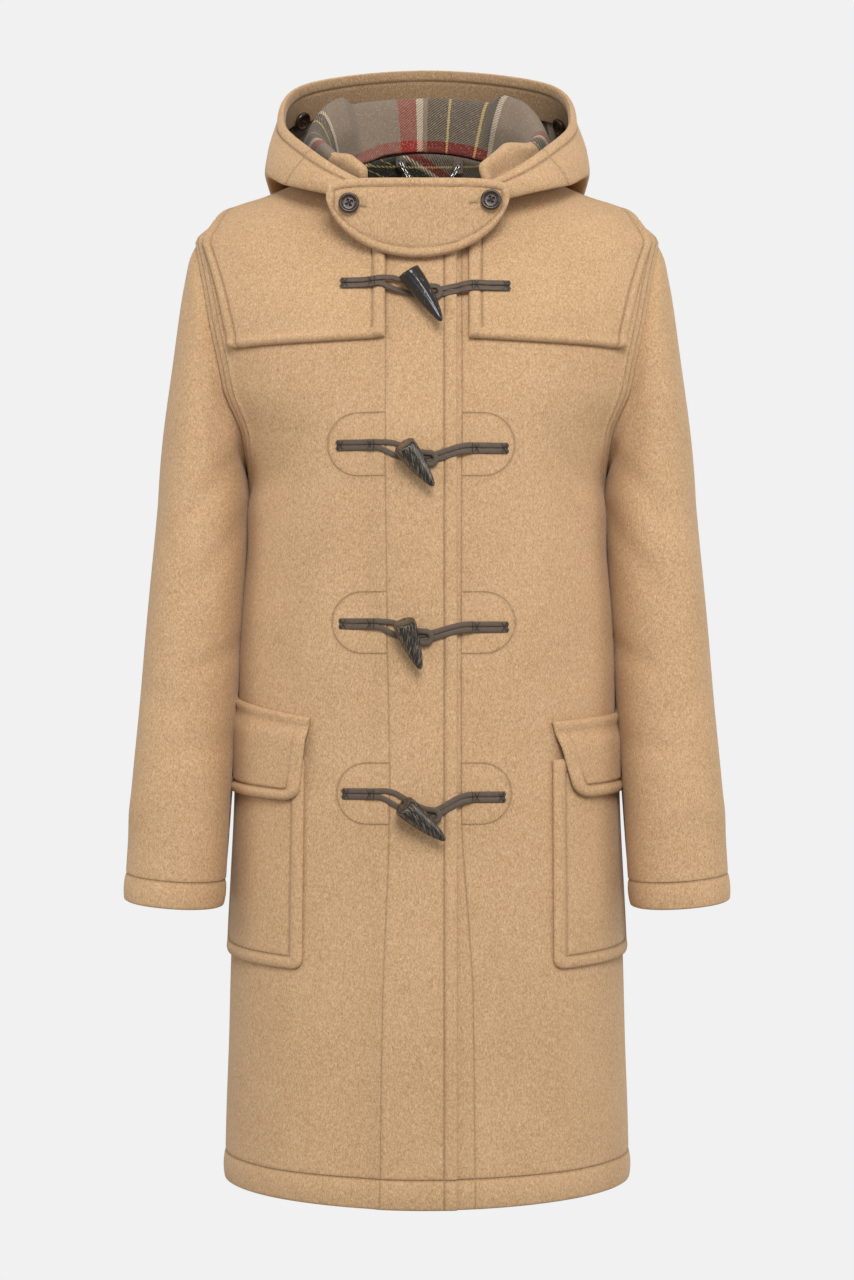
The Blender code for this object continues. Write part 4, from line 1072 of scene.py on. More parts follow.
def hood_folds(points, along):
    """How far the hood's neck falls forwards in a soft fold at either side of its flat middle: a
    smooth step across the line where the fold starts, fading towards the throat, the neck seam
    and the ridge's far side. A smaller mound lies beside the throat, where the camel is turned in:
    also which points those are."""
    x, z = points[..., 0], points[..., 2]
    up = np.clip((z - NECK_LEVEL) / HOOD_FOLD_HEIGHT, 0, 1)
    start = np.where(x > 0, HOOD_FOLD_STARTS[1], HOOD_FOLD_STARTS[0]) + HOOD_FOLD_SPREAD * up
    beside = np.abs(x) - start
    far = 1 - ease(np.abs(x), *HOOD_FOLD_FADE)
    tall = ease(along, *HOOD_FOLD_SPAN[:2]) * (1 - ease(along, *HOOD_FOLD_SPAN[2:]))
    reach = HOOD_FOLD_DEPTH * ease(beside, -0.002, 0.008) * far * tall
    shift = reach[..., None] * np.array(FOLD_WAY)
    inwards, forwards, upwards = MOUND_WAY
    camel = np.zeros(reach.shape, bool)
    for at_x, at_z, wide, high, out in HOOD_MOUNDS:
        share = np.hypot((x - at_x) / wide, (z - at_z) / high)
        share = np.where((along < 0.40) & (points[..., 1] < 0.03), share, 2.0)
        reach = out * (1 - ease(share, 0.45, 1.05)) * ease(along, 0.0, 0.07)
        way = np.array([-math.copysign(inwards, at_x), forwards, upwards])
        shift = shift + reach[..., None] * way
        camel |= share < 1
    return shift, camel


def hood_cut():
    """The hood's one cloth, with a rolled rim. Its side seams run down from the rim."""
    rim = 1 - spaced(0, 0.12, 0.008, (0.0,))[::-1]
    along = np.concatenate([np.linspace(0, rim[0], 92)[:-1], rim])
    around = np.linspace(1, -1, 241)
    points = hood(around, along)
    folds, camel = hood_folds(points, along[:, None])
    points = points + folds
    normals = grid_normals(points)
    run, from_rim = runs(points)
    flat = (around[None, :] * HOOD_FLAT_HALF_WIDTH, -run)
    from_side = np.abs(np.abs(around)[None, :] - HOOD_SIDE_SEAM) * HOOD_HALF_WIDTH
    outer = along[:, None] > HOOD_OUTSIDE
    sunk = np.where(outer, groove(from_side, 0.0010, 0.0016), 0)
    raised = roll(from_rim, RIM_STITCH, RIM_ROLL) - sunk
    raised = raised + swell(around[None, :] * 0.3, run, HOOD_SWELL) * ease(from_rim, 0, 0.03)
    ends = (1 - np.abs(around))[None, :] * HOOD_HALF_WIDTH
    edge = np.minimum(from_rim, ends + 0.0015)
    sewn = np.where(outer, from_side, UNSEWN)
    cut = Cut(points, normals, edge, raised, (sewn, from_rim - RIM_STITCH, UNSEWN), flat)
    return cut, camel


def facing_cut():
    """The strip of camel cloth inside the rim: the hood's own points, moved in."""
    around = np.linspace(FACING_END, -FACING_END, 221)
    along = 1 - spaced(0, 0.19, 0.0035, (0.0,))[::-1]
    points = hood(around, along)
    normals = grid_normals(points)
    run, from_rim = runs(points)
    width = FACING_WIDTH + THROAT_FACING * ease(np.abs(around), 0.74, 0.90)
    width = np.minimum(width, 0.98 * run[-1])
    share = np.linspace(1, 0, 34)[:, None] ** 1.3
    wanted = FACING_START + (width[None, :] - FACING_START) * share
    columns = range(len(around))
    picked = np.stack(
        [
            [np.interp(wanted[:, c], from_rim[::-1, c], grid[::-1, c, k]) for c in columns]
            for grid in (points, normals)
            for k in range(3)
        ],
        axis=-1,
    ).transpose(1, 0, 2)
    points, normals = picked[..., :3], unit(picked[..., 3:])
    ends = (FACING_END - np.abs(around))[None, :] * HOOD_HALF_WIDTH
    edge = np.minimum(np.minimum(wanted - FACING_START, width[None, :] - wanted), ends)
    raised = roll(wanted, RIM_STITCH, RIM_ROLL)
    inside = CLOTH + FACING_THICKNESS - 0.001 + 0.002 * ease(wanted, 0.002, 0.012)
    flat = (around[None, :] * HOOD_HALF_WIDTH, wanted)
    cut = Cut(
        points - inside[..., None] * normals, -normals, np.clip(edge, 0, None), raised,
        (UNSEWN, np.abs(wanted - RIM_STITCH) + 0.0007, UNSEWN), flat,
    )
    return cut.turned_over()


# -------- throat tab
def tab_point(across, up):
    """across runs from -1 to 1, up from 0 at the rounded lower edge, half an ellipse, to 1 at the
    nearly straight top."""
    x = TAB_MIDDLE_X + TAB_HALF_WIDTH * across
    ellipse = np.sqrt(np.clip(1 - (TAB_ROUND * across) ** 2, 0, 1))
    low = TAB_CORNER_Z + (TAB_BOTTOM_Z - TAB_CORNER_Z) * ellipse
    high = TAB_TOP_Z - 0.006 * across**6
    y = TAB_FRONT_Y + (TAB_SIDE_Y - TAB_FRONT_Y) * np.abs(across) ** 2.2
    y = y + TAB_LEAN * (1 - up) * (1 - across**2)
    return np.stack([x, y, low + (high - low) * up], axis=-1)


def tab_cut():
    """The throat tab, padded, with a rolled upper edge, a dip under each button and a slit beside
    it."""
    across = np.sin(np.linspace(-1, 1, 131) * math.pi / 2 * TAB_ROUND)
    across = across / math.sin(math.pi / 2 * TAB_ROUND)
    up = (1 - np.cos(np.linspace(0, math.pi, 57))) / 2
    across, up = np.meshgrid(across, up)
    points = tab_point(across, up)
    normals = grid_normals(points)
    run, from_top = runs(points)
    ends = (1 - np.abs(across)) * TAB_HALF_WIDTH * 1.15
    edge = np.minimum(np.minimum(run, from_top), ends)
    x, z = points[..., 0], points[..., 2]
    raised = roll(edge, TAB_STITCH, TAB_PAD) + TAB_PAD * ease(edge, 0, 0.02)
    dip, dip_width = TAB_DIP
    slit_depth, slit_width, slit_reach = TAB_SLIT
    slits = np.full(x.shape, UNSEWN)
    for button_x, button_z, slit_x in TAB_HOLES:
        raised = raised - dip * bell(np.hypot(x - button_x, z - button_z), dip_width)
        slit = np.hypot(np.maximum(np.abs(x - slit_x) - slit_reach, 0), z - button_z)
        raised = raised - slit_depth * bell(slit, slit_width)
        slits = np.minimum(slits, slit)
    flat = (lengths(points, 1), run)
    sewn = np.minimum(np.abs(edge - TAB_STITCH) + 0.0006, slits)
    return Cut(points, normals, edge, raised, (UNSEWN, sewn, UNSEWN), flat)


# -------- solid trim
def close_grid(points, caps=True):
    """A grid with its first column again after the last, and with both its end rows drawn together
    to their middles where it has caps."""
    points = np.concatenate([points, points[:, :1]], axis=1)
    if caps:
        first, last = (row.mean(axis=1, keepdims=True) for row in (points[:1], points[-1:]))
        wide = (1, points.shape[1], 1)
        points = np.concatenate([np.tile(first, wide), points, np.tile(last, wide)])
    return points


def solid(node, made_of, parts, finishes):
    """One piece from several closed grids, each given as its points and its finish's number.
    Faces are turned outwards by the sign of the volume they close."""
    all_points, all_quads, all_places, all_slots = [], [], [], []
    start = 0
    for points, finish in parts:
        rows, columns = points.shape[:2]
        quads = grid_quads(rows, columns)
        flat = np.stack([lengths(points, 1), lengths(points, 0)], axis=-1).reshape(-1, 2)
        places = flat[quads]
        first, number = merged(points.reshape(-1, 3))
        spots = points.reshape(-1, 3)[first]
        quads = number[quads]
        a, b, c, d = (spots[quads[:, i]] - spots.mean(axis=0) for i in range(4))
        volume = np.einsum("ij,ij->i", a, np.cross(b, c) + np.cross(c, d)).sum()
        if volume < 0:
            quads, places = quads[:, ::-1], places[:, ::-1]
        all_points.append(spots)
        all_quads.append(quads + start)
        all_places.append(places)
        all_slots.append(np.full(len(quads), finish))
        start += len(spots)
    arrays = (all_points, all_quads, all_places, all_slots)
    mesh = write_mesh(f"{node}_{made_of}", *(np.concatenate(array) for array in arrays))
    return show(mesh, finishes, node)


def frames(route, up):
    """At each point of a route, the directions beside it and up from it, square to its course."""
    ahead = unit(np.gradient(route, axis=0))
    beside = unit(np.cross(up, ahead))
    return beside, unit(np.cross(ahead, beside))


def rod(route, up, half_width, half_height, sides, power=2.0):
    """A bar along a route: at each point a rounded square of its half sizes, closed at its ends.
    The last rows at each end shrink as a quarter of a circle."""
    turn = np.linspace(0, 2 * math.pi, sides + 1)[:-1]
    c, s = np.cos(turn), np.sin(turn)
    reach = rounded(c, s, power)
    beside, above = frames(route, up)
    half_width = np.broadcast_to(half_width, len(route))[:, None, None]
    half_height = np.broadcast_to(half_height, len(route))[:, None, None]
    run = lengths(route[:, None, :], 0)[:, 0]
    end = np.minimum(run, run[-1] - run) / (0.8 * np.min(half_height))
    shrink = np.sqrt(np.clip(1 - (1 - np.clip(end, 0, 1)) ** 2, 0.02, 1))[:, None, None]
    around = beside[:, None] * (reach * c)[None, :, None] * half_width * shrink
    around = around + above[:, None] * (reach * s)[None, :, None] * half_height * shrink
    return close_grid(route[:, None, :] + around)


def thread(route, half_width, half_height):
    """A thread along a route on the coat's front, as a part of the second finish."""
    return (rod(route, FORWARD, half_width, half_height, 6), 1)


def hairpin(start, bend, near_x, widest):
    """Out along the upper strip, round the bend and back along the lower strip. The strips part
    at near_x, where their stitched stretch ends, by a smooth step, and the bend is an arc."""
    (start_x, start_z), (bend_x, bend_z) = start, bend
    side = 1 if bend_x > start_x else -1
    share = np.linspace(0, 1, 60)
    x = start_x + (bend_x - start_x) * share
    z = start_z + (bend_z - start_z) * ease(share, 0.4, 1.0)
    tight = STRIP_SPACING / 2
    apart = tight + (widest - tight) * ease(side * x, side * near_x, side * (near_x + side * 0.018))
    turn = np.radians(np.linspace(80, -80, 15))
    round_x = bend_x + side * apart[-1] * np.cos(turn)
    upper = np.stack([x, z + apart], axis=1)
    bend = np.stack([round_x, z[-1] + apart[-1] * np.sin(turn)], axis=1)
    lower = np.stack([x, z - apart], axis=1)
    return np.concatenate([upper, bend, lower[::-1]])


def strap_out(x, heights, yoked):
    """How far a strap's underside stands out from the body at x."""
    knots, plain, over_yoke = np.array(heights).T
    return smooth(x, knots, over_yoke if yoked else plain)


def cross_stitch(x, z, out, wide, tall):
    """A cross of two threads over both strips."""
    threads = []
    for way in (-1, 1):
        t = np.linspace(-1, 1, 9)
        arch = out + 0.0006 * (1 - t**4)
        route = on_front(x + t * wide / 2, z + way * t * tall / 2, arch)
        threads.append(thread(route, 0.00028, 0.00028))
    return threads


def strap(node, start, bend, near_x, widest, heights, yoked, finishes):
    """Two flat leather strips in one loop, with a sewn cross near their ends and a bar of thread
    where they part."""
    route = hairpin(start, bend, near_x, widest)
    out = strap_out(route[:, 0], heights, yoked) + STRIP_THICKNESS / 2
    line = on_front(route[:, 0], route[:, 1], out)
    up = unit(on_front(route[:, 0], route[:, 1], out + 0.001) - line)
    parts = [(rod(line, up, STRIP_WIDTH / 2, STRIP_THICKNESS / 2, 14, STRIP_POWER), 0)]
    side = 1 if bend[0] > start[0] else -1
    tall = STRIP_SPACING + STRIP_WIDTH * 0.7

    def top_at(x):
        return float(strap_out(np.array([x]), heights, yoked)[0]) + STRIP_THICKNESS

    def places(insets):
        return (start[0] + side * insets[0], near_x - side * insets[1])

    for x in places(CROSS_INSETS):
        parts += cross_stitch(x, start[1], top_at(x), CROSS_WIDTH, tall)
    t = np.linspace(-1, 1, 11)
    for x in places(BAR_INSETS):
        arch = top_at(x) + 0.0004 * (1 - t**4)
        bar = on_front(np.full(11, x), start[1] + t * tall / 2, arch)
        parts.append(thread(bar, 0.00035, 0.0003))
    return solid(node, "leather", parts, finishes)


def toggle(node, wide, tip, out, finish, seed):
    """A horn toggle: rings round a bowed axis that narrow to the tip, with shallow grooves along
    them, cut flat and a little aslant at the wide end."""
    knots = np.array([0.0, 0.03, 0.12, 0.35, 0.55, 0.72, 0.86, 0.96, 1.0])
    sizes = TOGGLE_RADIUS * np.array([1.08, 1.18, 1.18, 1.06, 0.90, 0.70, 0.49, 0.28, 0.05])
    wide_end = [0.0, 0.0, 0.0, 0.004, 0.012, 0.022]
    tip_end = 1 - 0.06 * np.cos(np.linspace(0.15, math.pi / 2, 8)) ** 1.4
    share = np.concatenate([wide_end, np.linspace(0.03, 0.94, 44), tip_end])
    radius = smooth(share, knots, sizes)
    radius[:6] *= np.array([0.02, 0.5, 0.86, 0.94, 0.98, 1.0])
    radius[-1] = 0.00005
    turn = np.linspace(0, 2 * math.pi, 65)[None, :-1]
    waves = np.cos(7 * turn + seed) * 0.35 + np.cos(13 * turn - 2 * seed + 4 * share[:, None]) * 0.4
    waves = waves + np.cos(23 * turn + 3 * seed) * 0.25
    body_of = ease(share, 0.01, 0.06)[:, None] * (1 - ease(share, 0.8, 1.0))[:, None]
    rings = 0.004 * np.cos(share * 60 + seed)[:, None]
    size = radius[:, None] * (1 + (0.030 * waves + rings) * body_of)
    x, z = np.array([wide, tip]).T
    start, end = on_front(x, z, np.array([out, out - TOGGLE_TIP_DROP]))
    axis = Vector(end) - Vector(start)
    turned = np.array(axis.to_track_quat("Z", "Y").to_matrix())
    bow = 0.05 * axis.length * np.sin(math.pi * share)
    spots = np.stack(
        [
            size * np.cos(turn) + bow[:, None],
            size * np.sin(turn) * 0.92,
            np.broadcast_to((share * axis.length)[:, None], size.shape),
        ],
        axis=-1,
    )
    forward = spots[..., :2] @ turned[1, :2]
    spots[..., 2] -= TOGGLE_CUT * forward * (1 - ease(share, 0.05, 0.22))[:, None]
    points = close_grid(spots @ turned.T + start, caps=False)
    return solid(node, "horn", [(points, 0)], [finish])


def button_parts(centre, facing):
    """A turned button with a raised rim, a dished middle, four holes and its crossed thread."""
    facing = Vector(facing).normalized()
    turned = np.array(facing.to_track_quat("Z", "Y").to_matrix())
    thick, wide = BUTTON_THICKNESS, BUTTON_RADIUS
    knots = np.array([0, 0.50, 0.62, 0.74, 0.84, 0.94, 1.0])
    heights = thick * np.array([0.60, 0.60, 0.66, 0.93, 1.0, 0.92, 0.62])
    share = np.concatenate([np.linspace(0.001, 0.52, 22), np.linspace(0.54, 0.985, 18)])
    turn = np.linspace(0, 2 * math.pi, 73)[None, :-1]
    height = smooth(share, knots, heights)[:, None] * np.ones_like(turn)
    u, v = share[:, None] * np.cos(turn + BUTTON_TURN), share[:, None] * np.sin(turn + BUTTON_TURN)
    holes = np.zeros_like(height)
    for hole_u, hole_v in ((1, 1), (1, -1), (-1, 1), (-1, -1)):
        away = np.hypot(u - BUTTON_HOLE * hole_u, v - BUTTON_HOLE * hole_v)
        holes = np.maximum(holes, 1 - ease(away, 0.085, 0.135))
    height = height - thick * 0.42 * holes
    edge = np.array(
        [(1.0, 0.62), (1.0, 0.42), (0.985, 0.2), (0.93, 0.04), (0.85, 0.0), (0.001, 0.0)]
    )
    radius = np.concatenate([share, edge[:, 0]])[:, None] * wide * np.ones_like(turn)
    height = np.concatenate([height, edge[:, 1:] * thick * np.ones_like(turn)])
    spots = np.stack([radius * np.cos(turn), radius * np.sin(turn), height], axis=-1)
    parts = [(close_grid(spots @ turned.T + np.array(centre)), 0)]
    t = np.linspace(-1, 1, 9)
    c, s = math.cos(-BUTTON_TURN), math.sin(-BUTTON_TURN)
    for way in (-1, 1):
        flat_x, flat_y = BUTTON_HOLE * t, BUTTON_HOLE * t * way
        line = np.stack(
            [
                (flat_x * c - flat_y * s) * wide,
                (flat_x * s + flat_y * c) * wide,
                thick * (0.62 + 0.10 * (1 - t**2)) - 0.0012 * t**6,
            ],
            axis=1,
        )
        line = line @ turned.T + np.array(centre)
        parts.append((rod(line, np.array(facing), 0.0005, 0.0004, 6), 1))
    return parts


def tab_buttons():
    """The throat tab's buttons: name, centre and facing."""
    places = []
    for name, at, up in (("throat_button_right", -0.75, 0.55), ("throat_button_left", 0.80, 0.58)):
        spot = tab_point(np.array([at - 0.01, at + 0.01, at]), np.full(3, up))
        facing = Vector(spot[1] - spot[0]).cross(Vector((0, 0.09, 1))).normalized()
        places.append((name, Vector(spot[2]) + facing * 0.0021, facing))
    return places


def hood_buttons():
    """The buttons inside the rim's ends: name, centre and facing."""
    places = []
    for name, around, along in HOOD_BUTTONS:
        step = 0.004
        steps = np.array([-step, 0, step])
        grid = hood(around - steps, along + steps)
        normal = np.cross(grid[1, 2] - grid[1, 0], grid[2, 1] - grid[0, 1])
        inwards = -Vector(normal).normalized()
        stand = CLOTH + FACING_THICKNESS + 6 * LAYER_GAP
        places.append((name, Vector(grid[1, 1]) + inwards * stand, inwards))
    return places


def chain_tabs():
    """The chain's two leather tabs: name, middle and height."""
    places = []
    for name, x, tall in (("chain_tab_left", 0.0315, 0.015), ("chain_tab_right", -0.0265, 0.010)):
        angle = math.acos(x / 0.088)
        seam = body(angle, NECK_LEVEL) - (CLOTH + 0.0020) * body_normal(angle, NECK_LEVEL)
        places.append((name, Vector(seam) + Vector((0, -0.0012, -tall / 2)), tall))
    return places


def chain_tab(node, middle, tall, finishes):
    """A small leather tab: a bar of rounded section, with a cross of thread."""
    z = np.linspace(-tall / 2, tall / 2, 22)
    line = np.stack([np.full(22, middle.x), np.full(22, middle.y), middle.z + z], axis=1)
    parts = [(rod(line, FORWARD, 0.005, 0.0009, 14, STRIP_POWER), 0)]
    step = 0.003 * np.linspace(-1, 1, 9)
    for way in (-1, 1):
        y = np.full(9, middle.y - 0.0010)
        route = np.stack([middle.x + step, y, middle.z + way * step], axis=1)
        parts.append(thread(route, 0.0004, 0.0003))
    return solid(node, "leather", parts, finishes)


def chain(node, finish):
    """Links along a parabola between the tabs, each turned a quarter from the one before. A link
    is a thin ring drawn out to an oval."""
    left, right = [middle + Vector((0, -0.0026, 0)) for _, middle, _ in chain_tabs()]
    t = np.linspace(0, 1, 200)
    sag = 4 * t * (1 - t)
    line = np.array(right) + (np.array(left) - np.array(right)) * t[:, None]
    line = line + np.stack([0 * sag, -0.003 * sag, -0.030 * sag], axis=1)
    run = lengths(line[:, None], 0)[:, 0]
    count = int(run[-1] / CHAIN_PITCH)
    places = (np.arange(count) + 0.5) * run[-1] / count
    middles = np.stack([np.interp(places, run, line[:, k]) for k in range(3)], axis=1)
    ahead = unit(np.gradient(middles, axis=0))
    across = unit(np.cross(ahead, np.array([0, 1.0, 0])))
    third = np.cross(ahead, across)
    around = (np.linspace(0, 2 * math.pi, steps) for steps in (17, 9))
    turn, bend = np.meshgrid(*around, indexing="ij")
    parts = []
    for number, middle in enumerate(middles):
        side = unit(across[number] + third[number] * (0.75 if number % 2 else -0.75))
        flat = np.cross(ahead[number], side)
        ring = 0.00155 + CHAIN_WIRE * np.cos(bend)
        points = (
            middle
            + ahead[number] * (np.cos(turn) * (ring + 0.00085))[..., None]
            + side * (np.sin(turn) * ring)[..., None]
            + flat * (CHAIN_WIRE * np.sin(bend))[..., None]
        )
        parts.append((points, 0))
    return solid(node, "steel", parts, [finish])


# -------- finishes
SHADERS = ("ShaderNodeBsdfPrincipled", "ShaderNodeBackground")


class Nodes:
    """Adds nodes to one tree and joins them."""

    def __init__(self, tree):
        self.tree = tree

    def put(self, kind, inputs=None, **settings):
        """A node with its settings, and each named input joined to a socket or set to a value."""
        node = self.tree.nodes.new(kind)
        for key, value in settings.items():
            setattr(node, key, value)
        for key, value in (inputs or {}).items():
            self.feed(node.inputs[key], value)
        return node

    def shade(self, **inputs):
        """Sets or joins the inputs of the tree's own shader, named with _ for a space."""
        shader = next(node for node in self.tree.nodes if node.bl_idname in SHADERS)
        for key, value in inputs.items():
            self.feed(shader.inputs[key.replace("_", " ")], value)

    def feed(self, socket, value):
        """Joins a socket to another one, or sets its value."""
        if isinstance(value, bpy.types.NodeSocket):
            self.tree.links.new(value, socket)
        else:
            socket.default_value = value

    def place(self):
        """Where on the coat a point lies, in metres."""
        return self.put("ShaderNodeTexCoord").outputs["Object"]

    def flat(self):
        """Where on the flat cloth a point lies."""
        return self.put("ShaderNodeUVMap", uv_map="cloth").outputs[0]

    def ways(self, vector):
        """A vector's X, Y and Z."""
        return self.put("ShaderNodeSeparateXYZ", {"Vector": vector}).outputs

    def vary(self, noise, amount, base):
        """The base and an amount of a noise's difference from its middle, one half."""
        return self.math("MULTIPLY_ADD", self.math("SUBTRACT", noise, 0.5), amount, base)

    def math(self, operation, a, b=0.0, c=0.0):
        """An operation on up to three numbers."""
        return self.put("ShaderNodeMath", {0: a, 1: b, 2: c}, operation=operation).outputs[0]

    def noise(self, where, scale, detail=2.0, roughness=0.5, distortion=0.0):
        """A noise between 0 and 1, with this many of its cells to a metre."""
        inputs = {"Vector": where, "Scale": scale, "Detail": detail, "Roughness": roughness}
        return self.put("ShaderNodeTexNoise", inputs | {"Distortion": distortion}).outputs["Fac"]

    def fade(self, value, low, high, to_low=0.0, to_high=1.0):
        """A smooth step from to_low at low to to_high at high."""
        inputs = {"Value": value, "From Min": low, "From Max": high}
        inputs |= {"To Min": to_low, "To Max": to_high}
        return self.put("ShaderNodeMapRange", inputs, interpolation_type="SMOOTHSTEP").outputs[0]

    def mix(self, share, a, b):
        """The colour a, or b where share is 1."""
        inputs = {0: share, 6: a, 7: b}
        return self.put("ShaderNodeMix", inputs, data_type="RGBA", clamp_factor=True).outputs[2]

    def bands(self, share, stops):
        """Plain bands of colour from their stops, each a place and a colour."""
        node = self.put("ShaderNodeValToRGB", {"Fac": share})
        node.color_ramp.interpolation = "CONSTANT"
        elements = node.color_ramp.elements
        elements.remove(elements[-1])
        for number, (place, colour) in enumerate(stops):
            element = elements[0] if number == 0 else elements.new(place)
            element.position = place
            element.color = colour
        return node.outputs["Color"]


def group(name, inputs, outputs, fill):
    """A shader node group with named sockets, filled once by fill(nodes, its inputs)."""
    tree = bpy.data.node_groups.new(name, "ShaderNodeTree")
    for label, kind in inputs.items():
        tree.interface.new_socket(label, in_out="INPUT", socket_type=kind)
    for label, kind in outputs.items():
        tree.interface.new_socket(label, in_out="OUTPUT", socket_type=kind)
    nodes = Nodes(tree)
    given = nodes.put("NodeGroupInput").outputs
    results = fill(nodes, given)
    nodes.put("NodeGroupOutput", results)
    return tree


COLOUR, VALUE = "NodeSocketColor", "NodeSocketFloat"


def wool_nap(nodes, given):
    """Brushed wool: short fibres that lie downwards, mottled at a few millimetres and, faintly, at
    a hand's width. The palest fibres have the least colour."""
    place = nodes.place()
    drawn = {"Vector": place, "Scale": (1.0, 1.0, 0.55)}
    brushed = nodes.put("ShaderNodeMapping", drawn).outputs[0]
    fibre = nodes.noise(brushed, 820.0, 3.0, 0.80, 0.5)
    mottle = nodes.noise(brushed, 400.0, 3.0, 0.65, 0.3)
    cloud = nodes.noise(place, 16.0, 2.0, 0.5)
    fleck = nodes.fade(nodes.noise(brushed, 1000.0, 1.0, 0.5), 0.58, 0.72)
    level = nodes.vary(fibre, given["Fibre"], 1.0)
    level = nodes.vary(mottle, given["Mottle"], level)
    level = nodes.vary(cloud, given["Cloud"], level)
    paler = nodes.math("MULTIPLY_ADD", level, -0.34, 1.34)
    shades = {"Color": given["Colour"], "Value": level, "Saturation": paler}
    shaded = nodes.put("ShaderNodeHueSaturation", shades).outputs[0]
    colour = nodes.mix(nodes.math("MULTIPLY", fleck, 0.34), shaded, given["Fleck"])
    height = nodes.math("MULTIPLY_ADD", mottle, 0.6, nodes.math("MULTIPLY", fibre, 0.5))
    return {"Colour": colour, "Height": height}


def sewn_lines(nodes, given):
    """Sewn lines, from the distances that the cloth carries: X and Y are distances to a line, and
    Z one to the middle of a pair. A stitch's waves run along them. Both masks darken the wool: the
    narrow one partly for the thread and partly as painted shade in its groove, the broad one as
    painted shade over the groove."""
    carried = nodes.put("ShaderNodeAttribute", attribute_name="sewing").outputs["Vector"]
    parts = nodes.ways(carried)
    first = nodes.math("ABSOLUTE", parts["X"])
    second = nodes.math("ABSOLUTE", parts["Y"])
    apart = (LAP_STITCHES[1] - LAP_STITCHES[0]) / 2
    third = nodes.math("ABSOLUTE", parts["Z"])
    pair = nodes.math("ABSOLUTE", nodes.math("SUBTRACT", third, apart))
    nearest = nodes.math("MINIMUM", nodes.math("MINIMUM", first, second), pair)
    ways = nodes.ways(nodes.flat())
    along = nodes.math("ADD", ways["X"], ways["Y"])
    wave = nodes.math("SINE", nodes.math("MULTIPLY", along, 2 * math.pi / STITCH_LENGTH))
    wave = nodes.math("MULTIPLY_ADD", wave, 0.14, 0.86)
    narrow = nodes.math("MULTIPLY", nodes.fade(nearest, 0.0, given["Width"], 1.0, 0.0), wave)
    # The broad mask: painted shade over the groove round each sewn line.
    broad = nodes.fade(nearest, 0.0, 0.0042, 1.0, 0.0)
    return {"Line": narrow, "Hollow": broad}


def sett_stripes(nodes, given):
    """The check's stripes across one way of the cloth: bands of colour that repeat, with soft
    edges."""
    repeat = sum(wide for wide, _ in SETT)
    share = nodes.math("FRACT", nodes.math("DIVIDE", given["Place"], repeat))
    coat = bpy.context.scene.duffle_check
    stops, at = [], 0.0
    for wide, colour in SETT:
        stops.append((at / repeat, (*getattr(coat, colour), 1.0)))
        at += wide
    return {"Colour": nodes.bands(share, stops)}


def leather_grain(nodes, given):
    """Fine leather: cells of grain, and a lighter worn tone over patches."""
    place = nodes.place()
    grain = nodes.put("ShaderNodeTexVoronoi", {"Vector": place, "Scale": 1500.0})
    cells = grain.outputs["Distance"]
    patch = nodes.noise(place, 260.0, 3.0, 0.6)
    level = nodes.vary(patch, 0.7, 1.0)
    level = nodes.math("MULTIPLY_ADD", cells, 0.25, level)
    shades = {"Color": given["Colour"], "Value": level}
    colour = nodes.put("ShaderNodeHueSaturation", shades).outputs[0]
    height = nodes.math("ADD", cells, nodes.math("MULTIPLY", patch, 0.5))
    return {"Colour": colour, "Height": height}


def new_material(name):
    """A material, and the means to add nodes to it."""
    made = bpy.data.materials.new(name)
    made.use_nodes = True
    return made, Nodes(made.node_tree)


def bumped(nodes, height, strength, distance, onto=None):
    """The surface's direction, bumped by a height, on top of other bumps where there are some."""
    inputs = {"Height": height, "Strength": strength, "Distance": distance}
    if onto is not None:
        inputs["Normal"] = onto
    return nodes.put("ShaderNodeBump", inputs).outputs[0]


def use_group(nodes, name, **inputs):
    """One of the shared effects, with its inputs joined or set, and its outputs."""
    return nodes.put("ShaderNodeGroup", inputs, node_tree=bpy.data.node_groups[name]).outputs


def camel_wool(name, shade=1.0):
    """The camel wool. A shade under one darkens its whole colour, as painted shade for the facing,
    which lies in the shade inside the hood's rim.
    """
    wool = bpy.context.scene.duffle_wool
    made, nodes = new_material(name)
    colour = (*(part * shade for part in wool.colour), 1.0)
    nap = use_group(
        nodes, "wool_nap", Colour=colour, Fleck=(*wool.fleck, 1.0),
        Fibre=wool.fibre, Mottle=wool.mottle, Cloud=0.16,
    )
    lines = use_group(nodes, "sewn_lines", Width=wool.stitch_width)
    # Painted shade: the sewn lines are mixed towards a dark brown, narrowly for the thread and the
    # shade in its groove, and broadly for the shade over the groove.
    shadow = (*wool.stitch_shade, 1.0)
    colour = nodes.mix(nodes.math("MULTIPLY", lines["Line"], 0.34), nap["Colour"], shadow)
    colour = nodes.mix(nodes.math("MULTIPLY", lines["Hollow"], 0.12), colour, shadow)
    sunk = nodes.math("MULTIPLY", lines["Line"], -1.0)
    normal = bumped(nodes, nap["Height"], 0.55, wool.nap_depth)
    normal = bumped(nodes, sunk, 0.8, 0.0011, normal)
    nodes.shade(
        Base_Color=colour, Normal=normal, Roughness=0.95, Sheen_Weight=0.30,
        Sheen_Roughness=0.45, Sheen_Tint=(1.0, 0.80, 0.60, 1.0), Specular_IOR_Level=0.15,
    )
    return made


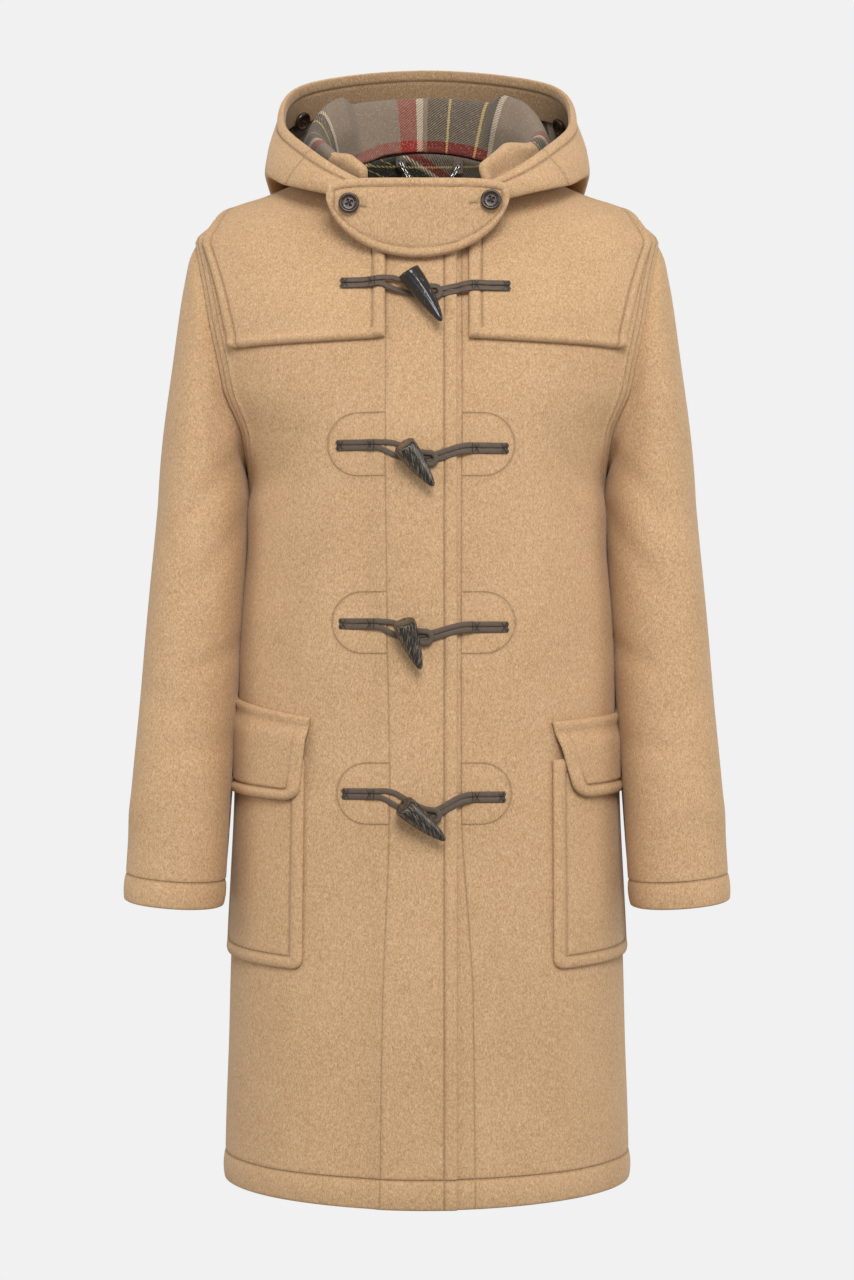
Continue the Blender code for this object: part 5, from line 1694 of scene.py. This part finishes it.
def checked_wool(name):
    """The checked reverse: two sets of stripes, woven in a slanting rib and brushed."""
    check = bpy.context.scene.duffle_check
    made, nodes = new_material(name)
    ways = nodes.ways(nodes.flat())
    blur = nodes.math("MULTIPLY_ADD", nodes.noise(nodes.place(), 900.0, 2.0), 0.0016, -0.0008)
    across = nodes.math("ADD", nodes.math("ADD", ways["X"], 10.0 + check.shift_across), blur)
    along = nodes.math("ADD", nodes.math("ADD", ways["Y"], 10.0 + check.shift_along), blur)
    warp = use_group(nodes, "sett_stripes", Place=across)["Colour"]
    weft = use_group(nodes, "sett_stripes", Place=along)["Colour"]
    slant = nodes.math("ADD", ways["X"], ways["Y"])
    slant = nodes.math("MULTIPLY", slant, 2 * math.pi / check.twill)
    over = nodes.fade(nodes.math("SINE", slant), -0.5, 0.5, 0.12, 0.88)
    woven = nodes.mix(over, warp, weft)
    nap = use_group(
        nodes, "wool_nap", Colour=woven, Fleck=(0.45, 0.40, 0.33, 1.0), Fibre=0.7, Mottle=0.35,
        Cloud=0.1,
    )
    height = nodes.math("MULTIPLY_ADD", over, 0.35, nap["Height"])
    normal = bumped(nodes, height, 0.5, 0.0006)
    nodes.shade(
        Base_Color=nap["Colour"], Normal=normal, Roughness=0.95, Sheen_Weight=0.1,
        Sheen_Roughness=0.5, Specular_IOR_Level=0.15,
    )
    return made


def brown_leather(name):
    """The straps' leather."""
    trim = bpy.context.scene.duffle_trim
    made, nodes = new_material(name)
    grain = use_group(nodes, "leather_grain", Colour=(*trim.leather, 1.0))
    normal = bumped(nodes, grain["Height"], 0.35, 0.0002)
    nodes.shade(
        Base_Color=grain["Colour"], Normal=normal, Roughness=0.60,
        Specular_IOR_Level=0.25,
    )
    return made


def dark_thread(name):
    """Dark thread, twisted from two plies."""
    made, nodes = new_material(name)
    ways = nodes.ways(nodes.flat())
    along = nodes.math("ADD", ways["X"], ways["Y"])
    ply = nodes.math("SINE", nodes.math("MULTIPLY", along, 9000.0))
    share = nodes.math("MULTIPLY_ADD", ply, 0.5, 0.5)
    colour = nodes.mix(share, (0.012, 0.010, 0.009, 1), (0.035, 0.03, 0.026, 1))
    normal = bumped(nodes, ply, 0.4, 0.0001)
    nodes.shade(Base_Color=colour, Roughness=0.8, Normal=normal)
    return made


def horn(name, dark, pale, grain, streak, coat, low, high):
    """Horn: streaks drawn out along the piece, between a dark ground and a pale streak. The two
    are named as in the trim's settings."""
    trim = bpy.context.scene.duffle_trim
    dark, pale = (*getattr(trim, dark), 1.0), (*getattr(trim, pale), 1.0)
    made, nodes = new_material(name)
    drawn = {"Vector": nodes.flat(), "Scale": (1.0, streak, 1.0)}
    vein = nodes.noise(nodes.put("ShaderNodeMapping", drawn).outputs[0], grain, 4.0, 0.6, 0.6)
    fine = nodes.noise(nodes.place(), 900.0, 2.0, 0.5)
    share = nodes.fade(vein, low, high)
    colour = nodes.mix(share, dark, pale)
    colour = nodes.mix(nodes.math("MULTIPLY", fine, 0.25), colour, dark)
    height = nodes.math("MULTIPLY_ADD", fine, 0.3, vein)
    normal = bumped(nodes, height, 0.25, 0.0005)
    rough = nodes.math("MULTIPLY_ADD", share, 0.20, 0.26)
    nodes.shade(
        Base_Color=colour, Normal=normal, Roughness=rough, Coat_Weight=coat,
        Coat_Roughness=0.16, Specular_IOR_Level=0.35,
    )
    return made


def steel(name):
    """The chain's worn steel."""
    made, nodes = new_material(name)
    wear = nodes.noise(nodes.place(), 700.0, 3.0)
    colour = nodes.mix(wear, (0.62, 0.61, 0.60, 1), (0.86, 0.86, 0.85, 1))
    rough = nodes.math("MULTIPLY_ADD", wear, 0.25, 0.12)
    normal = bumped(nodes, wear, 0.15, 0.0002)
    nodes.shade(Base_Color=colour, Metallic=1.0, Roughness=rough, Normal=normal)
    return made


def all_round(nodes, stage):
    """The brightness all round: the backdrop's to the camera, and the light's to the coat."""
    seen = nodes.put("ShaderNodeLightPath").outputs["Is Camera Ray"]
    return nodes.math("MULTIPLY_ADD", seen, stage.backdrop - stage.ambient, stage.ambient)


def floor_finish(stage):
    """A pale floor that fades with distance into a glow as bright as what is round it."""
    made, nodes = new_material("pale_floor")
    place = {0: nodes.place()}
    away = nodes.put("ShaderNodeVectorMath", place, operation="LENGTH").outputs["Value"]
    far = nodes.fade(away, *FLOOR_FADE)
    colour = nodes.mix(far, (0.80, 0.80, 0.80, 1), (0.0, 0.0, 0.0, 1))
    glow = nodes.mix(far, (0.0, 0.0, 0.0, 1), (1.0, 1.0, 1.0, 1))
    glow = nodes.mix(all_round(nodes, stage), (0.0, 0.0, 0.0, 1), glow)
    nodes.shade(
        Base_Color=colour, Emission_Color=glow, Emission_Strength=1.0, Roughness=1.0,
        Specular_IOR_Level=0.0,
    )
    return made


GROUPS = (
    (
        "wool_nap",
        {"Colour": COLOUR, "Fleck": COLOUR, "Fibre": VALUE, "Mottle": VALUE, "Cloud": VALUE},
        {"Colour": COLOUR, "Height": VALUE},
        wool_nap,
    ),
    ("sewn_lines", {"Width": VALUE}, {"Line": VALUE, "Hollow": VALUE}, sewn_lines),
    ("sett_stripes", {"Place": VALUE}, {"Colour": COLOUR}, sett_stripes),
    ("leather_grain", {"Colour": COLOUR}, {"Colour": COLOUR, "Height": VALUE}, leather_grain),
)


# Each finish: its material's name, what makes it, and what that is told. For wool that is its
# shade, a factor on its colour that paints shade where it is under one, and for horn its two
# colours, the size of its grain and how drawn out that is, its coat, and the range of grain over
# which one colour turns into the other.
FINISHES = {
    "wool": ("camel_wool_face", camel_wool, 1.0),
    # The facing's wool is painted darker, as painted shade for the shade inside the hood's rim.
    "facing wool with painted shade": ("camel_wool_facing", camel_wool, 0.63),
    "check": ("checked_wool_reverse", checked_wool),
    "leather": ("brown_leather_strip", brown_leather),
    "thread": ("dark_thread", dark_thread),
    "black horn": ("black_horn", horn, "horn", "faint", 700.0, 0.25, 0.5, 0.64, 0.72),
    "streaked horn": ("streaked_horn", horn, "horn", "streak", 1300.0, 0.08, 0.3, 0.52, 0.66),
    "button horn": ("button_horn", horn, "button", "mottle", 420.0, 0.6, 0.2, 0.50, 0.80),
    "steel": ("steel_links", steel),
}


def finish(name):
    """The named material, made the first time that a piece asks for it."""
    for label, inputs, outputs, fill in GROUPS:
        if label not in bpy.data.node_groups:
            group(label, inputs, outputs, fill)
    if name not in FINISHES:
        raise RuntimeError(f"no finish is called {name}")
    label, make, *told = FINISHES[name]
    return bpy.data.materials.get(label) or make(label, *told)




# -------- settings
def size(name, about, value, **more):
    """A number as a setting."""
    return FloatProperty(name=name, description=about, default=value, **more)


def tone(name, about, value):
    """A colour as a setting."""
    return FloatVectorProperty(
        name=name, description=about, default=value, subtype="COLOR", size=3, min=0.0, max=1.0
    )


class DuffleWool(bpy.types.PropertyGroup):
    """The coat's wool and its sewing"""

    colour: tone("Wool", "Colour of the camel wool", (0.515, 0.325, 0.175))
    fleck: tone("Fleck", "Colour of the paler fibres", (0.78, 0.60, 0.40))
    # The sewn lines are darkened towards this colour: partly the thread's own colour, partly
    # painted shade in the grooves.
    stitch_shade: tone("Stitch shade", "Colour in the sewn lines", (0.22, 0.125, 0.060))
    fibre: size("Fibre", "How strongly single fibres differ", 1.55, min=0.0, max=2.0)
    mottle: size("Mottle", "How strongly small patches differ", 0.38, min=0.0, max=2.0)
    nap_depth: size("Nap depth", "Depth of the brushed nap", 0.0011, unit="LENGTH", min=0.0)
    stitch_width: size("Stitch width", "Half width of a sewn line", 0.0015, unit="LENGTH", min=0.0)


class DuffleCheck(bpy.types.PropertyGroup):
    """The wool's checked reverse"""

    greige: tone("Ground", "Colour of the check's ground", (0.215, 0.162, 0.117))
    cream: tone("Cream", "Colour of the pale lines", (0.56, 0.46, 0.34))
    red: tone("Red", "Colour of the red bands", (0.25, 0.028, 0.022))
    moss: tone("Moss", "Colour of the green bands", (0.024, 0.026, 0.016))
    slate: tone("Slate", "Colour of the grey bands", (0.030, 0.027, 0.022))
    gold: tone("Gold", "Colour of the thin yellow lines", (0.50, 0.37, 0.12))
    twill: size("Twill", "Width of one slanting rib", 0.0026, unit="LENGTH", min=0.0005)
    shift_across: size("Shift across", "Moves the bands across the cloth", -0.0536, unit="LENGTH")
    shift_along: size("Shift along", "Moves the bands along the cloth", -0.064, unit="LENGTH")


class DuffleTrim(bpy.types.PropertyGroup):
    """Horn and leather"""

    leather: tone("Leather", "Colour of the leather strips", (0.094, 0.068, 0.050))
    horn: tone("Horn", "Colour of the toggles' dark ground", (0.016, 0.013, 0.012))
    streak: tone("Streak", "Colour of the toggles' pale streaks", (0.34, 0.27, 0.17))
    faint: tone("Faint streak", "Colour of the top toggle's streaks", (0.42, 0.40, 0.36))
    button: tone("Button", "Colour of the buttons", (0.035, 0.017, 0.011))
    mottle: tone("Button mottle", "Colour of the buttons' paler parts", (0.09, 0.05, 0.03))


class DuffleStage(bpy.types.PropertyGroup):
    """Floor, light and camera"""

    floor: size("Floor", "Height of the floor", -1.30, unit="LENGTH")
    backdrop: size("Backdrop", "Brightness all round", 0.88, min=0.0)
    ambient: size("Ambient", "Strength of the light from all round", 0.45, min=0.0)
    key: size("Key light", "Power of the broad front light, in watts", 196.0, min=0.0)
    fill: size("Fill light", "Power of each side light, in watts", 24.0, min=0.0)
    distance: size("Camera distance", "From the camera to the coat's middle", 3.0, unit="LENGTH")
    height: size("Camera height", "Height of the camera", -0.4277, unit="LENGTH")
    frame_height: size("Frame height", "Height of the view at the coat", 1.2032, unit="LENGTH")


# -------- the coat, piece by piece
def sew(piece, cut, held, rests_on, keep=None, finishes=("wool", "check"), **more):
    """Makes a piece of cloth in place of its solid, and works out its size, which is not used. Its
    finishes are the outer face's and the inner face's."""
    made = [finish(name) for name in finishes]
    obj = wall(piece, cut, made, keep, **more)
    declare(cut, keep)


class MakeBack(bpy.types.Operator):
    """Makes the coat's back"""

    bl_idname = "duffle.back"
    bl_label = "Back"

    def execute(self, context):
        sew("back", back_cut(), "hung", ["yoke_wool"])
        return {"FINISHED"}


class MakeFronts(bpy.types.Operator):
    """Makes both fronts, the wearer's right one over the left one"""

    bl_idname = "duffle.fronts"
    bl_label = "Fronts"

    def execute(self, context):
        left = front_cut(UNDERLAP_EDGE_X, LEFT_FACING_LINE, over=False)
        right = front_cut(OVERLAP_EDGE_X, RIGHT_FACING_LINE, over=True).mirrored()
        for side, cut, under in (("left", left, "back_wool"), ("right", right, "front_left_wool")):
            sew(f"front_{side}", cut, "hung", ["yoke_wool", under])
        return {"FINISHED"}


class MakeYoke(bpy.types.Operator):
    """Makes the yoke over both shoulders"""

    bl_idname = "duffle.yoke"
    bl_label = "Yoke"

    def execute(self, context):
        cut, keep = yoke_cut()
        sew("yoke", cut, "laid", ["back_wool", "front_left_wool", "front_right_wool"], keep)
        return {"FINISHED"}


class MakeSleeves(bpy.types.Operator):
    """Makes both sleeves"""

    bl_idname = "duffle.sleeves"
    bl_label = "Sleeves"

    def execute(self, context):
        left = sleeve_cut()
        for side, cut in (("left", left), ("right", left.mirrored())):
            sew(f"sleeve_{side}", cut, "hung", [f"front_{side}_wool", "back_wool"])
        return {"FINISHED"}


class MakePockets(bpy.types.Operator):
    """Makes the patch pockets and their flaps"""

    bl_idname = "duffle.pockets"
    bl_label = "Pockets"

    def execute(self, context):
        for side in ("left", "right"):
            for kind, make in (("pocket", pocket), ("pocket_flap", flap)):
                cut = make(side)
                if side == "right":
                    cut = cut.mirrored()
                sew(f"{kind}_{side}", cut, "hung", [f"front_{side}_wool"])
        return {"FINISHED"}


class MakeHood(bpy.types.Operator):
    """Makes the hood, lying back, and the facing inside its rim"""

    bl_idname = "duffle.hood"
    bl_label = "Hood"

    def execute(self, context):
        cut, turned_in = hood_cut()
        sew("hood", cut, "folded", ["yoke_wool"], camel=turned_in)
        # The facing wears the darker wool: painted shade for the shade inside the rim.
        sew(
            "hood_facing", facing_cut(), "laid", ["hood_wool"],
            finishes=("facing wool with painted shade", "facing wool with painted shade"), thickness=FACING_THICKNESS,
        )
        return {"FINISHED"}


class MakeTab(bpy.types.Operator):
    """Makes the padded throat tab"""

    bl_idname = "duffle.tab"
    bl_label = "Throat tab"

    def execute(self, context):
        sew(
            "throat_tab", tab_cut(), "hung",
            ["throat_button_left_horn", "throat_button_right_horn"],
            finishes=("wool", "wool"), thickness=TAB_THICKNESS,
        )
        return {"FINISHED"}


class MakeFastenings(bpy.types.Operator):
    """Makes the four fastenings: a horn toggle, its leather loop and its leather thong"""

    bl_idname = "duffle.fastenings"
    bl_label = "Fastenings"

    def execute(self, context):
        leather = [finish("leather"), finish("thread")]
        for number, row in enumerate(TOGGLE_ROWS, 1):
            z, right_x, left_x, wide_x, wide_z, tip_x, tip_z, out = row
            hole_x = wide_x + (tip_x - wide_x) * TOGGLE_HOLE
            hole_z = wide_z + (tip_z - wide_z) * TOGGLE_HOLE
            yoked = number == 1
            for kind, x, fall, past, *run in (
                ("thong", left_x, -STRAP_FALL, THONG_PAST, *THONG_RUN),
                ("loop", right_x, STRAP_FALL, LOOP_PAST, *LOOP_RUN),
            ):
                start, end = (x, z + fall), (hole_x + past[0], hole_z + past[1])
                strap(f"{kind}_{number}", start, end, *run, yoked, leather)
            horn_kind = finish("black horn" if yoked else "streaked horn")
            wide, tip = (wide_x, wide_z), (tip_x, tip_z)
            toggle(f"toggle_{number}", wide, tip, out, horn_kind, 1.7 * number)
        return {"FINISHED"}


class MakeButtons(bpy.types.Operator):
    """Makes the buttons of the throat tab and inside the hood's rim"""

    bl_idname = "duffle.buttons"
    bl_label = "Buttons"

    def execute(self, context):
        finishes = [finish("button horn"), finish("thread")]
        for name, centre, facing in tab_buttons() + hood_buttons():
            solid(name, "horn", button_parts(centre, facing), finishes)
        return {"FINISHED"}


class MakeChain(bpy.types.Operator):
    """Makes the hanging chain and its leather tabs"""

    bl_idname = "duffle.chain"
    bl_label = "Hanging chain"

    def execute(self, context):
        chain("hanging_chain", finish("steel"))
        leather = [finish("leather"), finish("thread")]
        for name, middle, tall in chain_tabs():
            chain_tab(name, middle, tall, leather)
        return {"FINISHED"}


def area_light(name, place, width, power):
    """A large soft light at a place, turned to face the coat."""
    data = bpy.data.lights.new(name, "AREA")
    data.shape = "DISK"
    data.size = width
    data.energy = power
    light = bpy.data.objects.new(name, data)
    light.location = place
    light.rotation_euler = (Vector(LIGHT_AIM) - Vector(place)).to_track_quat("-Z", "Y").to_euler()
    bpy.context.scene.collection.objects.link(light)


class MakeStage(bpy.types.Operator):
    """Makes the pale floor, the soft light and the camera"""

    bl_idname = "duffle.stage"
    bl_label = "Floor, light and camera"

    def execute(self, context):
        scene, stage = context.scene, context.scene.duffle_stage
        turn, reach = np.meshgrid(np.linspace(0, 2 * math.pi, 97), FLOOR_RINGS)
        level = np.full(turn.shape, stage.floor)
        points = np.stack([reach * np.cos(turn), reach * np.sin(turn), level], axis=-1)
        quads = grid_quads(*turn.shape)
        flat = points[..., :2].reshape(-1, 2)
        first, number = merged(points.reshape(-1, 3))
        mesh = write_mesh("pale_floor", points.reshape(-1, 3)[first], number[quads], flat[quads])
        floor = bpy.data.objects.new("pale_floor", mesh)
        mesh.materials.append(floor_finish(stage))
        scene.collection.objects.link(floor)
        world = bpy.data.worlds.new("soft_studio")
        world.use_nodes = True
        nodes = Nodes(world.node_tree)
        nodes.shade(Color=(1.0, 1.0, 1.0, 1.0), Strength=all_round(nodes, stage))
        scene.world = world
        for name, place, width, power in LIGHTS:
            area_light(name, place, width, getattr(stage, power))
        data = bpy.data.cameras.new("camera")
        data.sensor_width = 36.0
        data.lens = data.sensor_width * stage.distance / stage.frame_height
        camera = bpy.data.objects.new("camera", data)
        camera.location = (0.0, -stage.distance, stage.height)
        camera.rotation_euler = (math.pi / 2, 0.0, 0.0)
        scene.collection.objects.link(camera)
        scene.camera = camera
        scene.view_settings.view_transform = "Standard"
        return {"FINISHED"}


MAKERS = (
    MakeStage, MakeBack, MakeFronts, MakeYoke, MakeSleeves, MakePockets, MakeHood, MakeTab,
    MakeFastenings, MakeButtons, MakeChain,
)
SETTINGS = (
    ("duffle_wool", DuffleWool), ("duffle_check", DuffleCheck), ("duffle_trim", DuffleTrim),
    ("duffle_stage", DuffleStage),
)


class DufflePanel(bpy.types.Panel):
    """Lists the coat's settings and its pieces"""

    bl_idname = "VIEW3D_PT_duffle"
    bl_label = "Duffle coat"
    bl_space_type = "VIEW_3D"
    bl_region_type = "UI"
    bl_category = "Coat"

    def draw(self, context):
        for label, settings in SETTINGS:
            box = self.layout.box()
            for name in settings.__annotations__:
                box.prop(getattr(context.scene, label), name)
        for maker in MAKERS:
            self.layout.operator(maker.bl_idname)


def register():
    """Makes the settings, the makers and the panel known to Blender."""
    for _, settings in SETTINGS:
        bpy.utils.register_class(settings)
    for label, settings in SETTINGS:
        setattr(bpy.types.Scene, label, PointerProperty(type=settings))
    for maker in (*MAKERS, DufflePanel):
        bpy.utils.register_class(maker)


def unregister():
    """Takes them all out again."""
    for maker in reversed((*MAKERS, DufflePanel)):
        bpy.utils.unregister_class(maker)
    for label, settings in reversed(SETTINGS):
        delattr(bpy.types.Scene, label)
        bpy.utils.unregister_class(settings)


def main():
    """Makes the whole coat."""
    register()
    for maker in MAKERS:
        _, operator = maker.bl_idname.split(".")
        getattr(bpy.ops.duffle, operator)()


if __name__ == "__main__":
    main()
